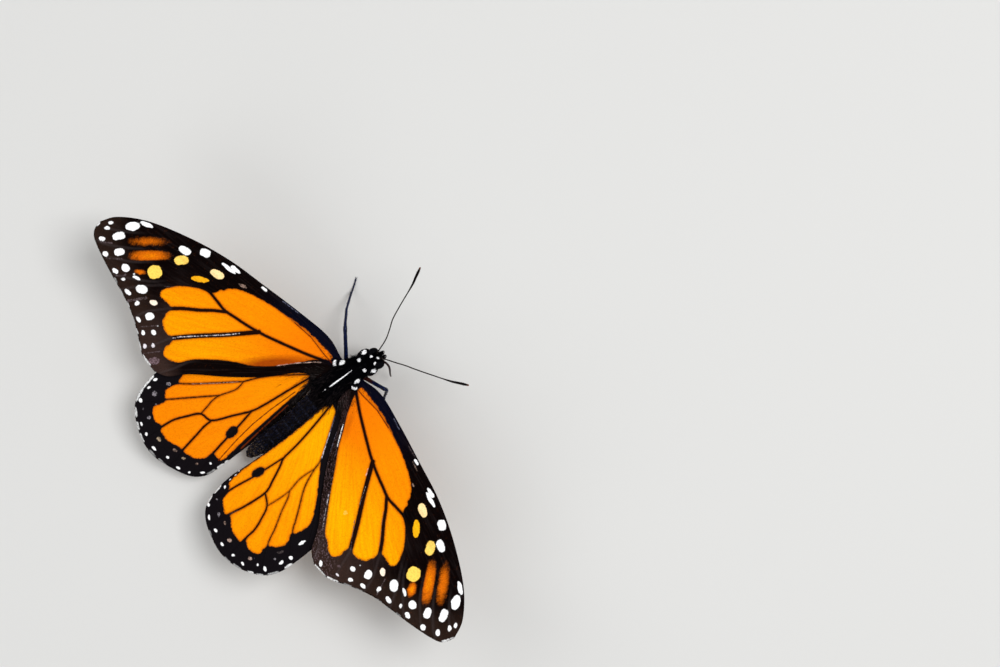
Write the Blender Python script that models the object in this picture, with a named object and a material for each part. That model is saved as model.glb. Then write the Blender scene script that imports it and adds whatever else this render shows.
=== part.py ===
"""Monarch butterfly at life size, standing with its wings spread.

Metres, +Z up. The head points to -Y and the insect's left side is +X. The origin is on the
floor, under the middle of the whole insect. Lengths below are in millimetres and are turned
into metres by mm(). Body places are written (left, ahead, up) from the wing roots' midpoint.
"""

import math

import bmesh
import bpy
from mathutils import Vector

# Whole insect
CENTRE_LEFT = -0.133       # middle of the wing span, left of the body's midline
CENTRE_AHEAD = -7.790      # middle of the length, ahead of the wing roots
HINDWING_HEIGHT = 7.9     # hindwing roots above the floor
FOREWING_HEIGHT = 9.5     # forewing roots above the floor
GAP = 0.3                 # air left between touching pieces

# Wings: one master shape of each, (out, ahead) from its root
WING_THICK = 0.5
FORE_CAMBER = 0.9
HIND_CAMBER = 0.7
FORE_COSTA = [(-1.8, 2.0), (3.0, 3.0), (10.0, 2.1), (18.0, 0.6), (25.5, -0.9), (33.0, -3.4),
              (40.7, -7.1), (45.4, -11.0), (47.1, -14.4)]
FORE_MARGIN = [(47.1, -14.4), (46.4, -16.4), (44.6, -17.6), (40.0, -19.1), (35.3, -20.3),
               (31.5, -21.4), (27.3, -23.5), (23.5, -25.8), (19.7, -26.3)]
FORE_REAR = [(-1.5, -4.2), (1.2, -5.4), (5.2, -11.3), (9.6, -16.4), (14.7, -21.5),
             (17.2, -25.0), (19.7, -26.3)]
FORE_ROOT = [(-1.8, 2.0), (-1.9, -1.0), (-1.5, -4.2)]
HIND_COSTA = [(-1.4, 1.0), (3.0, 2.2), (8.0, 0.6), (13.0, -3.4), (17.0, -9.0), (19.2, -15.5),
              (19.7, -20.5)]
# The two hindwings' outer edges differ a little, as they do on a real insect
HIND_MARGINS = {
    "hindwing_left": [(19.7, -20.5), (19.8, -24.5), (19.0, -28.4), (17.1, -31.1), (13.0, -33.6),
                      (8.8, -34.5), (4.6, -33.6), (1.1, -32.1), (-0.8, -30.0), (-1.5, -27.3),
                      (-1.8, -24.5)],
    "hindwing_right": [(19.7, -20.5), (19.5, -24.5), (18.9, -28.4), (17.1, -31.4), (13.1, -34.0),
                       (8.6, -35.0), (4.4, -34.4), (1.2, -33.2), (-0.7, -31.2), (-1.4, -28.4),
                       (-1.8, -24.5)],
}
HIND_REAR = [(-1.8, -1.5), (-2.1, -6.0), (-2.6, -12.0), (-2.7, -18.0), (-1.8, -24.5)]
HIND_ROOT = [(-1.4, 1.0), (-1.7, 0.0), (-1.8, -1.5)]

# Each wing: side, root (left, ahead), then angles in degrees: leading edge up, tip up, swept
# ahead. A hindwing's inner margin is folded down along a line: how far out it is by the body
# and at the wing's tail, the fold's angle, and the most of the margin that it takes.
WINGS = {
    "forewing_left": (1, (4.45, -0.8), 7.0, 15.0, -2.0),
    "forewing_right": (-1, (4.3, -0.2), -2.0, 15.0, 2.0),
    "hindwing_left": (1, (4.35, -4.4), 7.0, 14.0, -3.0),
    "hindwing_right": (-1, (1.6, -4.7), -2.0, 14.5, 2.5),
}
FOLDS = {"hindwing_left": (-0.9, -1.4, 40.0, 3.0), "hindwing_right": (0.1, -1.6, 80.0, 0.4)}

# Body, as rings: (ahead, left, up, half width, half height)
THORAX = [(4.4, -0.8, 8.5, 1.3, 1.2), (3.9, -0.68, 8.45, 1.75, 1.6), (3.2, -0.45, 8.4, 2.1, 1.95),
          (2.3, -0.25, 8.3, 2.45, 2.35), (1.2, -0.1, 8.2, 2.85, 2.8), (-0.3, 0.0, 8.1, 3.05, 3.1),
          (-2.2, 0.0, 8.0, 3.05, 3.2), (-4.2, 0.0, 7.8, 2.7, 2.85), (-5.6, 0.0, 7.4, 2.15, 2.25),
          (-6.6, 0.0, 6.9, 1.2, 1.25)]
ABDOMEN = [(-6.95, 0.0, 6.5, 1.2, 1.2), (-8.0, 0.0, 6.4, 1.75, 1.7), (-10.0, 0.02, 6.2, 2.0, 1.9),
           (-12.5, 0.04, 6.0, 2.1, 2.0), (-15.5, 0.06, 5.7, 2.1, 1.95), (-18.5, 0.15, 5.3, 2.0, 1.8),
           (-21.0, 0.32, 4.9, 1.8, 1.6), (-23.2, 0.5, 4.5, 1.4, 1.3), (-24.5, 0.55, 4.2, 1.0, 0.95),
           (-25.1, 0.55, 4.1, 0.5, 0.5)]
HEAD_AT = (-1.2, 6.1, 8.7)
HEAD_TURN = -12.0
HEAD = [(1.15, 0.0, 0.0, 0.45, 0.45), (1.0, 0.0, 0.0, 0.9, 1.0), (0.7, 0.0, 0.0, 1.35, 1.35),
        (0.0, 0.0, 0.0, 1.75, 1.6), (-0.7, 0.0, 0.0, 1.95, 1.55), (-1.05, 0.0, 0.0, 1.8, 1.35),
        (-1.3, 0.0, 0.0, 1.1, 1.0)]
EYE_HALF = (0.85, 1.1, 1.3)
EYE_AT = (1.25, 0.1, 0.1)
PALP_HALF = (0.36, 0.38, 0.95)
PALP_AT = (0.5, 1.72, -0.5)
PALP_LEAN = 28.0

# Feelers and tongue, as routes (left, ahead, up, half thickness)
ANTENNA_LEFT = [(-0.6, 7.5, 10.05, 0.25), (0.1, 10.0, 10.7, 0.25), (1.1, 11.9, 11.3, 0.25),
                (2.1, 13.6, 11.9, 0.25), (3.2, 16.6, 12.6, 0.25), (4.4, 20.2, 13.2, 0.27),
                (5.2, 21.9, 13.4, 0.34), (5.7, 23.0, 13.5, 0.36), (6.0, 23.6, 13.5, 0.28)]
ANTENNA_RIGHT = [(-2.15, 7.3, 9.95, 0.25), (-4.4, 8.8, 10.5, 0.25), (-6.0, 9.9, 11.0, 0.25),
                 (-7.7, 10.9, 11.4, 0.25), (-10.4, 12.6, 12.0, 0.25), (-13.5, 14.6, 12.5, 0.27),
                 (-14.9, 15.7, 12.7, 0.34), (-15.8, 16.4, 12.8, 0.36), (-16.3, 16.8, 12.8, 0.28)]
PROBOSCIS = [(-1.75, 6.9, 6.45, 0.3), (-2.3, 7.1, 6.75, 0.28), (-2.95, 7.2, 6.9, 0.27),
             (-3.55, 7.05, 6.6, 0.26), (-4.15, 6.65, 5.8, 0.25), (-4.7, 6.1, 4.7, 0.25),
             (-4.92, 5.75, 3.4, 0.25), (-4.95, 5.6, 2.2, 0.25)]

# Legs, as routes from inside the thorax to the claws (left, ahead, up, half thickness)
LEGS = {
    "midleg_left": [(1.2, 0.2, 6.2, 0.5), (2.3, 1.2, 5.6, 0.5), (6.9, 5.1, 7.6, 0.46),
                    (7.4, 5.5, 7.5, 0.42), (9.9, 7.3, 4.9, 0.34), (12.1, 9.5, 1.3, 0.3),
                    (12.6, 10.1, 0.4, 0.28), (13.2, 11.0, 0.22, 0.27), (13.9, 12.0, 0.22, 0.27)],
    "midleg_right": [(-1.2, 0.6, 6.2, 0.5), (-2.5, 2.0, 5.8, 0.5), (-6.5, 3.7, 7.6, 0.46),
                     (-6.95, 4.0, 7.4, 0.42), (-7.3, 2.5, 4.1, 0.34), (-7.75, 0.9, 1.1, 0.3),
                     (-7.95, 0.4, 0.4, 0.28), (-8.4, -0.4, 0.22, 0.27), (-9.4, -1.8, 0.22, 0.27)],
    "hindleg_left": [(1.0, -3.4, 6.0, 0.5), (2.2, -4.4, 5.2, 0.5), (6.2, -8.2, 6.3, 0.46),
                     (6.6, -8.7, 6.1, 0.42), (7.9, -10.9, 3.6, 0.34), (9.2, -13.0, 1.1, 0.3),
                     (9.6, -13.7, 0.4, 0.28), (10.2, -14.9, 0.22, 0.27), (11.3, -17.6, 0.22, 0.27)],
    "hindleg_right": [(-1.0, -3.4, 6.0, 0.5), (-2.2, -4.4, 5.2, 0.5), (-6.2, -8.2, 6.3, 0.46),
                      (-6.6, -8.7, 6.1, 0.42), (-7.9, -10.9, 3.6, 0.34), (-9.2, -13.0, 1.1, 0.3),
                      (-9.6, -13.7, 0.4, 0.28), (-10.2, -14.9, 0.22, 0.27), (-11.3, -17.6, 0.22, 0.27)],
    "foreleg_left": [(0.7, 1.0, 6.6, 0.4), (0.9, 2.3, 5.4, 0.38), (1.0, 4.0, 5.0, 0.32),
                     (0.8, 5.0, 5.6, 0.28), (0.6, 5.5, 6.2, 0.26)],
    "foreleg_right": [(-0.9, 1.0, 6.6, 0.4), (-1.1, 2.3, 5.4, 0.38), (-1.4, 4.0, 4.9, 0.32),
                      (-1.7, 5.0, 5.4, 0.28), (-1.8, 5.5, 6.0, 0.26)],
}

LOOKS = {
    "wing_fore": ((0.80, 0.24, 0.005), 0.55),
    "wing_hind": ((0.84, 0.27, 0.005), 0.55),
    "body": ((0.012, 0.010, 0.012), 0.75),
    "eye": ((0.015, 0.010, 0.020), 0.18),
    "limb": ((0.010, 0.011, 0.018), 0.35),
    "tongue": ((0.10, 0.02, 0.01), 0.40),
}


def mm(*lengths):
    """Millimetres to metres."""
    return tuple(0.001 * length for length in lengths)


def at(left, ahead, up):
    """A place on the body as a Blender vector: +X is left and -Y is ahead."""
    return Vector(mm(left, -ahead, up))


def smooth_line(points, steps):
    """A Catmull-Rom line through the points, read at even distances."""
    points = [Vector(p) for p in points]
    ends = [2 * points[0] - points[1]] + points + [2 * points[-1] - points[-2]]
    fine = [points[0]]
    for i in range(1, len(ends) - 2):
        a, b, c, d = ends[i - 1:i + 3]
        for k in range(1, 9):
            t = k / 8
            fine.append(0.5 * (2 * b + (c - a) * t + (2 * a - 5 * b + 4 * c - d) * t * t
                               + (3 * b - a - 3 * c + d) * t ** 3))
    lengths = [0.0]
    for p, q in zip(fine, fine[1:]):
        lengths.append(lengths[-1] + (q - p).length)
    line = []
    j = 0
    for i in range(steps + 1):
        want = lengths[-1] * i / steps
        while j < len(fine) - 2 and lengths[j + 1] < want:
            j += 1
        part = (want - lengths[j]) / max(lengths[j + 1] - lengths[j], 1e-9)
        line.append(fine[j].lerp(fine[j + 1], min(part, 1.0)))
    return line


def material(name):
    """The Principled material of one look."""
    found = bpy.data.materials.get(name)
    if found:
        return found
    colour, roughness = LOOKS[name]
    made = bpy.data.materials.new(name)
    made.use_nodes = True
    shader = made.node_tree.nodes["Principled BSDF"]
    shader.inputs["Base Color"].default_value = (*colour, 1.0)
    shader.inputs["Roughness"].default_value = roughness
    return made


def add(name, bm, look, parent, place=Vector()):
    """Turn a bmesh into a named object, its faces pointing out and shaded smooth."""
    bmesh.ops.recalc_face_normals(bm, faces=bm.faces)
    mesh = bpy.data.meshes.new(name)
    bm.to_mesh(mesh)
    bm.free()
    mesh.shade_smooth()
    mesh.materials.append(material(look))
    obj = bpy.data.objects.new(name, mesh)
    bpy.context.scene.collection.objects.link(obj)
    obj.parent = parent
    obj.location = place
    return obj


def skin_rings(rings):
    """Close a row of rings of points into one body, with a fan at each end."""
    bm = bmesh.new()
    loops = [[bm.verts.new(p) for p in ring] for ring in rings]
    for near, far in zip(loops, loops[1:]):
        count = len(near)
        for k in range(count):
            bm.faces.new((near[k], near[(k + 1) % count], far[(k + 1) % count], far[k]))
    for loop in (loops[0], loops[-1]):
        middle = bm.verts.new(sum((v.co for v in loop), Vector()) / len(loop))
        for k in range(len(loop)):
            bm.faces.new((loop[k], loop[(k + 1) % len(loop)], middle))
    return bm


def body_rings(stations, sides, grow=0.0, steps=3):
    """Oval rings along the body, rounded between the given stations and grown by a gap."""
    line = smooth_line([(s[0], s[1], s[2]) for s in stations], (len(stations) - 1) * steps)
    rings = []
    for p in line:
        i = max(k for k in range(len(stations) - 1) if k == 0 or stations[k][0] >= p.x)
        near, far = stations[i], stations[i + 1]
        t = min(max((near[0] - p.x) / (near[0] - far[0]), 0.0), 1.0)
        wide = near[3] + (far[3] - near[3]) * t + grow
        high = near[4] + (far[4] - near[4]) * t + grow
        ahead = p.x + grow if p is line[0] else p.x - grow if p is line[-1] else p.x
        ring = []
        for k in range(sides):
            turn = math.tau * k / sides
            ring.append(at(p.y + wide * math.cos(turn), ahead, p.z + high * math.sin(turn)))
        rings.append(ring)
    return rings


def tube(route, sides, smooth_steps=0):
    """A round limb along a route of (left, ahead, up, half thickness); its soles are flat."""
    points = [Vector((r[0], r[1], r[2])) for r in route]
    if smooth_steps:
        wide = smooth_line([(i, r[3], 0) for i, r in enumerate(route)], 8 * len(route))
        line = smooth_line(points, smooth_steps)
        spans = [0.0]
        for p, q in zip(points, points[1:]):
            spans.append(spans[-1] + (q - p).length)
        radii = []
        for i in range(len(line)):
            want = spans[-1] * i / smooth_steps
            j = max(k for k in range(len(spans) - 1) if spans[k] <= want + 1e-9)
            part = (want - spans[j]) / (spans[j + 1] - spans[j])
            radii.append(wide[min(round(8 * len(route) * (j + part) / (len(route) - 1)),
                                  8 * len(route))].y)
        points = line
    else:
        radii = [r[3] for r in route]
    rings = []
    side = None
    for i, p in enumerate(points):
        run = (points[min(i + 1, len(points) - 1)] - points[max(i - 1, 0)]).normalized()
        if side is None:
            side = run.cross(Vector((0, 0, 1))).normalized()
        side = (side - run * side.dot(run)).normalized()
        over = run.cross(side)
        ring = []
        for k in range(sides):
            turn = math.tau * (k + 0.5) / sides
            q = p + radii[i] * (math.cos(turn) * side + math.sin(turn) * over)
            ring.append(at(q.x, q.y, max(q.z, 0.0)))
        rings.append(ring)
    return skin_rings(rings)


def ball(half, sides, rows):
    """An egg-shaped body with the given half sizes."""
    bm = bmesh.new()
    bmesh.ops.create_uvsphere(bm, u_segments=sides, v_segments=rows, radius=1.0)
    bmesh.ops.scale(bm, vec=Vector(mm(*half)), verts=bm.verts)
    return bm


def wing_patch(costa, margin, rear, root, along, across):
    """A sheet stretched between the wing's four edges, as rows of (out, ahead)."""
    front = smooth_line([(*p, 0) for p in costa], along)
    back = smooth_line([(*p, 0) for p in rear], along)
    inner = smooth_line([(*p, 0) for p in root], across)
    outer = smooth_line([(*p, 0) for p in margin], across)
    rows = []
    for i in range(along + 1):
        s = i / along
        row = []
        for j in range(across + 1):
            t = j / across
            ruled = ((1 - t) * front[i] + t * back[i] + (1 - s) * inner[j] + s * outer[j])
            corners = ((1 - s) * ((1 - t) * front[0] + t * back[0])
                       + s * ((1 - t) * front[-1] + t * back[-1]))
            row.append(ruled - corners)
        rows.append(row)
    return rows


def wing(name, parent):
    """One wing: a cambered sheet set at its root and given its thickness."""
    side, root, lead_up, tip_up, swept = WINGS[name]
    fore = name.startswith("fore")
    if fore:
        rows = wing_patch(FORE_COSTA, FORE_MARGIN, FORE_REAR, FORE_ROOT, 20, 12)
    else:
        rows = wing_patch(HIND_COSTA, HIND_MARGINS[name], HIND_REAR, HIND_ROOT, 18, 14)
    camber = FORE_CAMBER if fore else HIND_CAMBER
    bm = bmesh.new()
    grid = []
    for i, row in enumerate(rows):
        verts = []
        for j, p in enumerate(row):
            s, t = i / (len(rows) - 1), j / (len(row) - 1)
            rise = camber * math.sin(math.pi * min(0.15 + 0.85 * s, 1.0)) * math.sin(math.pi * t)
            out = p.x
            if not fore:
                near, far, angle, keep = FOLDS[name]
                line = near + (far - near) * min(max((-4.0 - p.y) / 20.0, 0.0), 1.0) ** 2
                beyond = min(max(line - out, 0.0), keep + 0.08 * max(line - out, 0.0))
                out = max(out, line) - beyond * math.cos(math.radians(angle))
                rise = rise * min(1.0, max(0.0, p.x - line) / 4.0)
                rise = rise - beyond * math.sin(math.radians(angle))
            verts.append(bm.verts.new(mm(side * out, -p.y, rise)))
        grid.append(verts)
    for i in range(len(grid) - 1):
        for j in range(len(grid[0]) - 1):
            bm.faces.new((grid[i][j], grid[i + 1][j], grid[i + 1][j + 1], grid[i][j + 1]))
    height = FOREWING_HEIGHT if fore else HINDWING_HEIGHT
    obj = add(name, bm, "wing_fore" if fore else "wing_hind", parent,
              at(side * root[0], root[1], height))
    obj.rotation_euler = (math.radians(-lead_up), math.radians(-side * tip_up),
                          math.radians(-side * swept))
    thick = obj.modifiers.new("Thickness", "SOLIDIFY")
    thick.thickness = 0.001 * WING_THICK
    thick.offset = 0.0
    return obj


def cut(obj, cutter):
    """Part a piece from its neighbour with a thin cut."""
    modifier = obj.modifiers.new("Cut by " + cutter.name, "BOOLEAN")
    modifier.operation = "DIFFERENCE"
    modifier.solver = "EXACT"
    modifier.object = cutter


def hide(obj):
    """Keep a cutter out of the model."""
    obj.hide_render = True
    obj.display_type = "WIRE"
    return obj


def main():
    for old in list(bpy.data.objects):
        bpy.data.objects.remove(old)
    insect = bpy.data.objects.new("monarch", None)
    bpy.context.scene.collection.objects.link(insect)
    insect.location = at(-CENTRE_LEFT, -CENTRE_AHEAD, 0.0)
    head_axis = bpy.data.objects.new("head_axis", None)
    bpy.context.scene.collection.objects.link(head_axis)
    head_axis.parent = insect
    head_axis.location = at(*HEAD_AT)
    head_axis.rotation_euler = (0.0, 0.0, math.radians(HEAD_TURN))

    add("thorax", skin_rings(body_rings(THORAX, 18, steps=2)), "body", insect)
    add("abdomen", skin_rings(body_rings(ABDOMEN, 18, steps=2)), "body", insect)
    thorax_gap = hide(add("thorax_gap", skin_rings(body_rings(THORAX, 18, GAP, 2)), "body", insect))
    abdomen_gap = hide(add("abdomen_gap", skin_rings(body_rings(ABDOMEN, 18, GAP, 2)), "body", insect))

    head = add("head", skin_rings(body_rings(HEAD, 20, steps=2)), "body", head_axis)
    for side, word in ((1, "left"), (-1, "right")):
        left, ahead, up = EYE_AT
        add("eye_" + word, ball(EYE_HALF, 16, 12), "eye", head_axis, at(side * left, ahead, up))
        socket = hide(add("socket_" + word, ball([h + GAP for h in EYE_HALF], 16, 12), "body",
                          head_axis, at(side * left, ahead, up)))
        cut(head, socket)
        left, ahead, up = PALP_AT
        palp = add("palp_" + word, ball(PALP_HALF, 10, 8), "body", head_axis,
                   at(side * left, ahead, up))
        palp.rotation_euler = (math.radians(PALP_LEAN), 0.0, 0.0)

    add("antenna_left", tube(ANTENNA_LEFT, 8, 20), "limb", insect)
    add("antenna_right", tube(ANTENNA_RIGHT, 8, 20), "limb", insect)
    add("proboscis", tube(PROBOSCIS, 8, 14), "tongue", insect)
    for name, route in LEGS.items():
        cut(add(name, tube(route, 8), "limb", insect), thorax_gap)
    for name in WINGS:
        made = wing(name, insect)
        cut(made, thorax_gap)
        if name.startswith("hind"):
            cut(made, abdomen_gap)


main()
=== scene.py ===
"""Finish of a life-size monarch butterfly, standing with its wings spread.

Metres, +Z up, floor at 0. The head points to -Y and the insect's left side is +X. Places on the
body are written (left, ahead, up) in millimetres from the wing roots' midpoint, and places on a
wing (out, ahead) in millimetres from its root.
"""

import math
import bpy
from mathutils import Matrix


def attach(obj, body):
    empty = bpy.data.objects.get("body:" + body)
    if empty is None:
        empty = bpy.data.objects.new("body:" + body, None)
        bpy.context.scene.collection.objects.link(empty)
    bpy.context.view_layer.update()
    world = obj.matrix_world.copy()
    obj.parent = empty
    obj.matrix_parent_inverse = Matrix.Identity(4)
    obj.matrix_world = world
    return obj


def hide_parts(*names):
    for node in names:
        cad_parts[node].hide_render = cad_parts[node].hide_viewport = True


bl_info = {
    "name": "Monarch butterfly",
    "version": (1, 0, 0),
    "blender": (4, 5, 0),
    "location": "3D View > Sidebar > Monarch",
    "description": "Builds the wings, body, coat, eyes, feelers and legs of a monarch butterfly",
    "category": "Object",
}

import bpy
import numpy as np
from mathutils import Euler, Matrix, Vector

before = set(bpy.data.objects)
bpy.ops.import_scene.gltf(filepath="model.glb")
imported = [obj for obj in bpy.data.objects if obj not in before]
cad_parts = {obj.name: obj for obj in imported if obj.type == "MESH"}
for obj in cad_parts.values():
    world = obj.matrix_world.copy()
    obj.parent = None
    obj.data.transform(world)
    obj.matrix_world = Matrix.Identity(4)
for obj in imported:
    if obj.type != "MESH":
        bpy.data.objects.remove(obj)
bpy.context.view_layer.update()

# ---------------------------------------------------------------- places and sizes

CENTRE_LEFT = -0.133
CENTRE_AHEAD = -7.79
HINDWING_HEIGHT = 7.9
FOREWING_HEIGHT = 9.5
SIDES = {"left": 1, "right": -1}

FORE_COSTA = [(-1.8, 2.0), (3.0, 3.0), (10.0, 2.1), (18.0, 0.6), (25.5, -0.9), (33.0, -3.4),
              (40.7, -7.1), (45.4, -11.0), (47.1, -14.4)]
FORE_MARGIN = [(47.1, -14.4), (46.4, -16.4), (44.6, -17.6), (40.0, -19.1), (35.3, -20.3),
               (31.5, -21.4), (27.3, -23.5), (23.5, -25.8), (19.7, -26.3)]
FORE_REAR = [(-1.5, -4.2), (1.2, -5.4), (5.2, -11.3), (9.6, -16.4), (14.7, -21.5),
             (17.2, -25.0), (19.7, -26.3)]
FORE_ROOT = [(-1.8, 2.0), (-1.9, -1.0), (-1.5, -4.2)]
HIND_COSTA = [(-1.4, 1.0), (3.0, 2.2), (8.0, 0.6), (13.0, -3.4), (17.0, -9.0), (19.2, -15.5),
              (19.7, -20.5)]
HIND_MARGIN = {
    "left": [(19.7, -20.5), (19.8, -24.5), (19.0, -28.4), (17.1, -31.1), (13.0, -33.6),
             (8.8, -34.5), (4.6, -33.6), (1.1, -32.1), (-0.8, -30.0), (-1.5, -27.3), (-1.8, -24.5)],
    "right": [(19.7, -20.5), (19.5, -24.5), (18.9, -28.4), (17.1, -31.4), (13.1, -34.0),
              (8.6, -35.0), (4.4, -34.4), (1.2, -33.2), (-0.7, -31.2), (-1.4, -28.4),
              (-1.8, -24.5)],
}
HIND_REAR = [(-1.8, -1.5), (-2.1, -6.0), (-2.6, -12.0), (-2.7, -18.0), (-1.8, -24.5)]
HIND_ROOT = [(-1.4, 1.0), (-1.7, 0.0), (-1.8, -1.5)]
CAMBER = {"fore": 0.9, "hind": 0.7}
WING_GRID = {"fore": (290, 162), "hind": (230, 200)}
# How many steps each edge of a wing is read in
EDGE_STEPS = 240
# The membrane stops short of the outer edge by this much, and the fringe fills it
FRINGE_ROOM = 0.22
# How far in from its own rim the membrane is pale where the fringe is
RIM_PALE = 0.14

# Each wing: root (left, ahead), then degrees: leading edge up, tip up, swept ahead
WING_POSE = {
    ("fore", "left"): ((4.45, -0.8), 7.0, 15.0, -2.0),
    ("fore", "right"): ((4.3, -0.2), -2.0, 15.0, 2.0),
    ("hind", "left"): ((4.35, -4.4), 7.0, 14.0, -3.0),
    ("hind", "right"): ((1.6, -4.7), -2.0, 14.5, 2.5),
}
# A hindwing's inner fold: its line near the body and at the tail, its angle and its most width
FOLDS = {"left": (-0.9, -1.4, 40.0, 3.0), "right": (0.1, -1.6, 80.0, 0.4)}

# ---------------------------------------------------------------- wing markings

# The thin red vein along the front of the forewing's orange field
FRONT_VEIN = [(-1.2, 0.2), (1.1, 0.25), (5.2, 0.6), (9.2, 0.15), (12.3, -0.2), (15.3, -0.9),
              (18.4, -1.9), (20.6, -2.9), (22.0, -3.9), (23.3, -5.7), (23.7, -7.3)]
# Veins as (half width near the body, half width at the end, points). A half width below 0
# raises a vein without parting the orange field.
FORE_VEINS = [
    (0.30, 0.12, [(-1.0, 1.6), (3.0, 2.2), (8.0, 1.7), (13.0, 0.9), (17.0, 0.3), (20.0, 0.2)]),
    (-0.12, -0.12, FRONT_VEIN),
    (0.24, 0.16, [(14.0, 0.1), (18.0, -0.7), (22.0, -1.4), (26.5, -1.6)]),
    (0.24, 0.16, [(18.0, -1.0), (22.0, -2.6), (27.0, -3.1), (31.5, -3.4)]),
    (0.24, 0.14, [(22.6, -5.3), (27.5, -5.3), (31.0, -6.3), (34.2, -6.4), (37.1, -6.7),
                  (41.8, -11.2), (45.5, -14.2)]),
    (0.22, 0.16, [(24.5, -5.1), (28.0, -5.0), (32.0, -4.9), (36.0, -5.3), (38.6, -6.2)]),
    (0.22, 0.16, [(37.1, -6.7), (40.0, -7.2), (42.3, -8.7)]),
    (0.24, 0.14, [(23.4, -6.6), (27.0, -6.5), (30.5, -6.9), (34.5, -7.9), (39.7, -13.3),
                  (43.4, -16.3), (44.8, -16.9)]),
    (0.26, 0.14, [(23.9, -7.5), (28.0, -7.9), (32.6, -9.2), (37.2, -14.4), (40.2, -16.8),
                  (42.6, -18.4)]),
    (0.22, 0.14, [(27.1, -9.3), (29.8, -11.1), (32.7, -14.8), (37.1, -18.4), (39.1, -19.6)]),
    (0.27, 0.24, [(-0.2, -0.3), (2.7, -1.8), (5.3, -3.0), (8.3, -4.3), (11.4, -5.6), (14.4, -6.6),
                  (17.5, -7.4), (19.5, -7.9), (21.5, -7.8), (23.6, -7.7), (25.1, -7.9),
                  (27.1, -9.3), (29.0, -11.3), (30.8, -13.7), (33.4, -17.0), (35.2, -20.2)]),
    (0.42, 0.46, [(12.3, -5.9), (13.7, -7.8), (16.1, -11.1), (19.0, -14.8), (21.3, -18.0),
                  (22.3, -19.6), (23.6, -23.3), (24.5, -25.2)]),
    (0.28, 0.42, [(19.0, -7.8), (20.9, -9.5), (22.6, -11.4), (24.7, -13.4), (26.1, -15.0),
                  (27.3, -16.7), (28.9, -19.2), (29.7, -22.0)]),
]
# The rear vein, along the orange field's rear side
FORE_REAR_VEIN = {
    "left": [(1.2, -1.9), (2.2, -3.6), (4.3, -7.1), (6.4, -9.9), (8.5, -12.0), (10.6, -13.5),
             (12.8, -15.4), (15.0, -17.8), (16.6, -19.9)],
    "right": [(0.6, -2.7), (1.6, -4.4), (3.4, -6.7), (5.4, -9.5), (8.2, -12.6), (10.6, -15.4),
              (13.2, -18.2), (15.8, -20.9)],
}
# Outline of the forewing's orange field, from the root along the front to the rear vein's end
FORE_FIELD = [
    (-0.5, 0.3), (-0.3, 1.0), (0.3, 1.15), (1.4, 1.1), (3.1, 1.05), (5.2, 1.0), (7.2, 0.75),
    (9.2, 0.4), (12.3, -0.3), (15.3, -1.1), (18.4, -2.2), (20.4, -3.2), (21.6, -4.2), (22.8, -5.8),
    (23.3, -7.1), (24.4, -7.9), (25.8, -8.7), (27.3, -9.9), (28.6, -11.2), (29.5, -12.8),
    (30.0, -14.2), (29.4, -15.3), (28.2, -15.2), (26.9, -15.2), (26.3, -16.2), (26.0, -17.5),
    (25.0, -18.8), (23.8, -19.3), (22.4, -19.3), (21.6, -20.0), (21.6, -21.3), (21.2, -22.4),
    (20.3, -22.8), (19.1, -22.4), (17.9, -21.6)]
# Spots as (out, ahead, length, width, tilt, colour name, squareness if not oval)
FORE_SPOTS = [
    (17.6, 0.2, 1.4, 0.6, -10, "white"), (23.8, -1.3, 2.3, 0.8, -10, "white"),
    (24.8, -2.1, 3.3, 0.8, -10, "white"), (25.4, -4.4, 2.9, 1.6, -20, "cream"),
    (29.8, -3.4, 2.1, 1.6, -30, "white", 2.8), (32.6, -5.9, 2.5, 1.5, -25, "white", 2.6),
    (31.7, -7.6, 2.8, 1.8, -55, "butter", 2.4), (33.4, -12.9, 2.9, 2.6, -65, "yellow", 2.3),
    (40.8, -7.9, 2.7, 0.9, -25, "white", 2.5), (42.3, -10.1, 2.9, 1.7, -55, "white"),
    (42.7, -13.3, 2.5, 1.5, -65, "white", 3.0), (40.5, -15.3, 2.1, 1.4, -60, "white", 3.2),
    (37.5, -16.5, 1.7, 1.6, 0, "white"), (34.8, -16.2, 1.6, 0.7, -30, "white"),
    (32.6, -17.0, 2.3, 1.8, -40, "white", 2.3), (29.3, -17.1, 1.6, 1.1, -35, "cream_soft"),
    (27.9, -19.5, 1.8, 1.6, -70, "white", 2.3), (25.1, -21.1, 1.2, 1.0, 20, "white"),
    (45.5, -12.7, 1.1, 0.7, -50, "white"), (45.2, -13.9, 1.2, 0.8, -50, "white"),
    (44.4, -16.0, 1.3, 0.9, -40, "white"), (41.9, -17.5, 1.3, 1.0, -15, "white"),
    (38.4, -18.4, 1.3, 1.0, -10, "white"), (36.3, -18.3, 1.0, 0.8, -60, "white"),
    (33.9, -19.4, 1.6, 1.0, -5, "white"), (31.2, -19.6, 1.2, 0.9, -80, "white"),
    (28.8, -21.5, 1.4, 0.8, 5, "white"), (26.4, -22.7, 1.1, 0.8, 40, "white"),
    (25.6, -19.6, 0.4, 0.4, 0, "white")]
FORE_EXTRAS = {
    "left": [(26.8, -7.4, 3.5, 1.2, -40, "amber"), (24.3, -24.2, 1.0, 0.8, 50, "pearl_and_glint"),
             (23.4, -22.9, 1.0, 0.8, 50, "pearl_and_glint"), (21.1, -24.9, 2.3, 1.5, -55, "mauve"),
             (20.7, -2.4, 1.8, 0.7, -20, "mist"), (35.6, -16.1, 0.5, 0.4, -50, "white")],
    "right": [(16.2, -15.8, 1.0, 0.9, 30, "fleck"), (27.3, -7.4, 3.5, 1.4, -40, "amber_light"),
              (20.4, -25.2, 1.3, 0.7, -40, "white"), (23.1, -22.8, 0.9, 0.7, 25, "mauve"),
              (24.1, -24.0, 0.8, 0.5, 5, "pearl_and_glint"), (20.6, -2.9, 0.9, 0.4, -15, "mist")],
}
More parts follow.
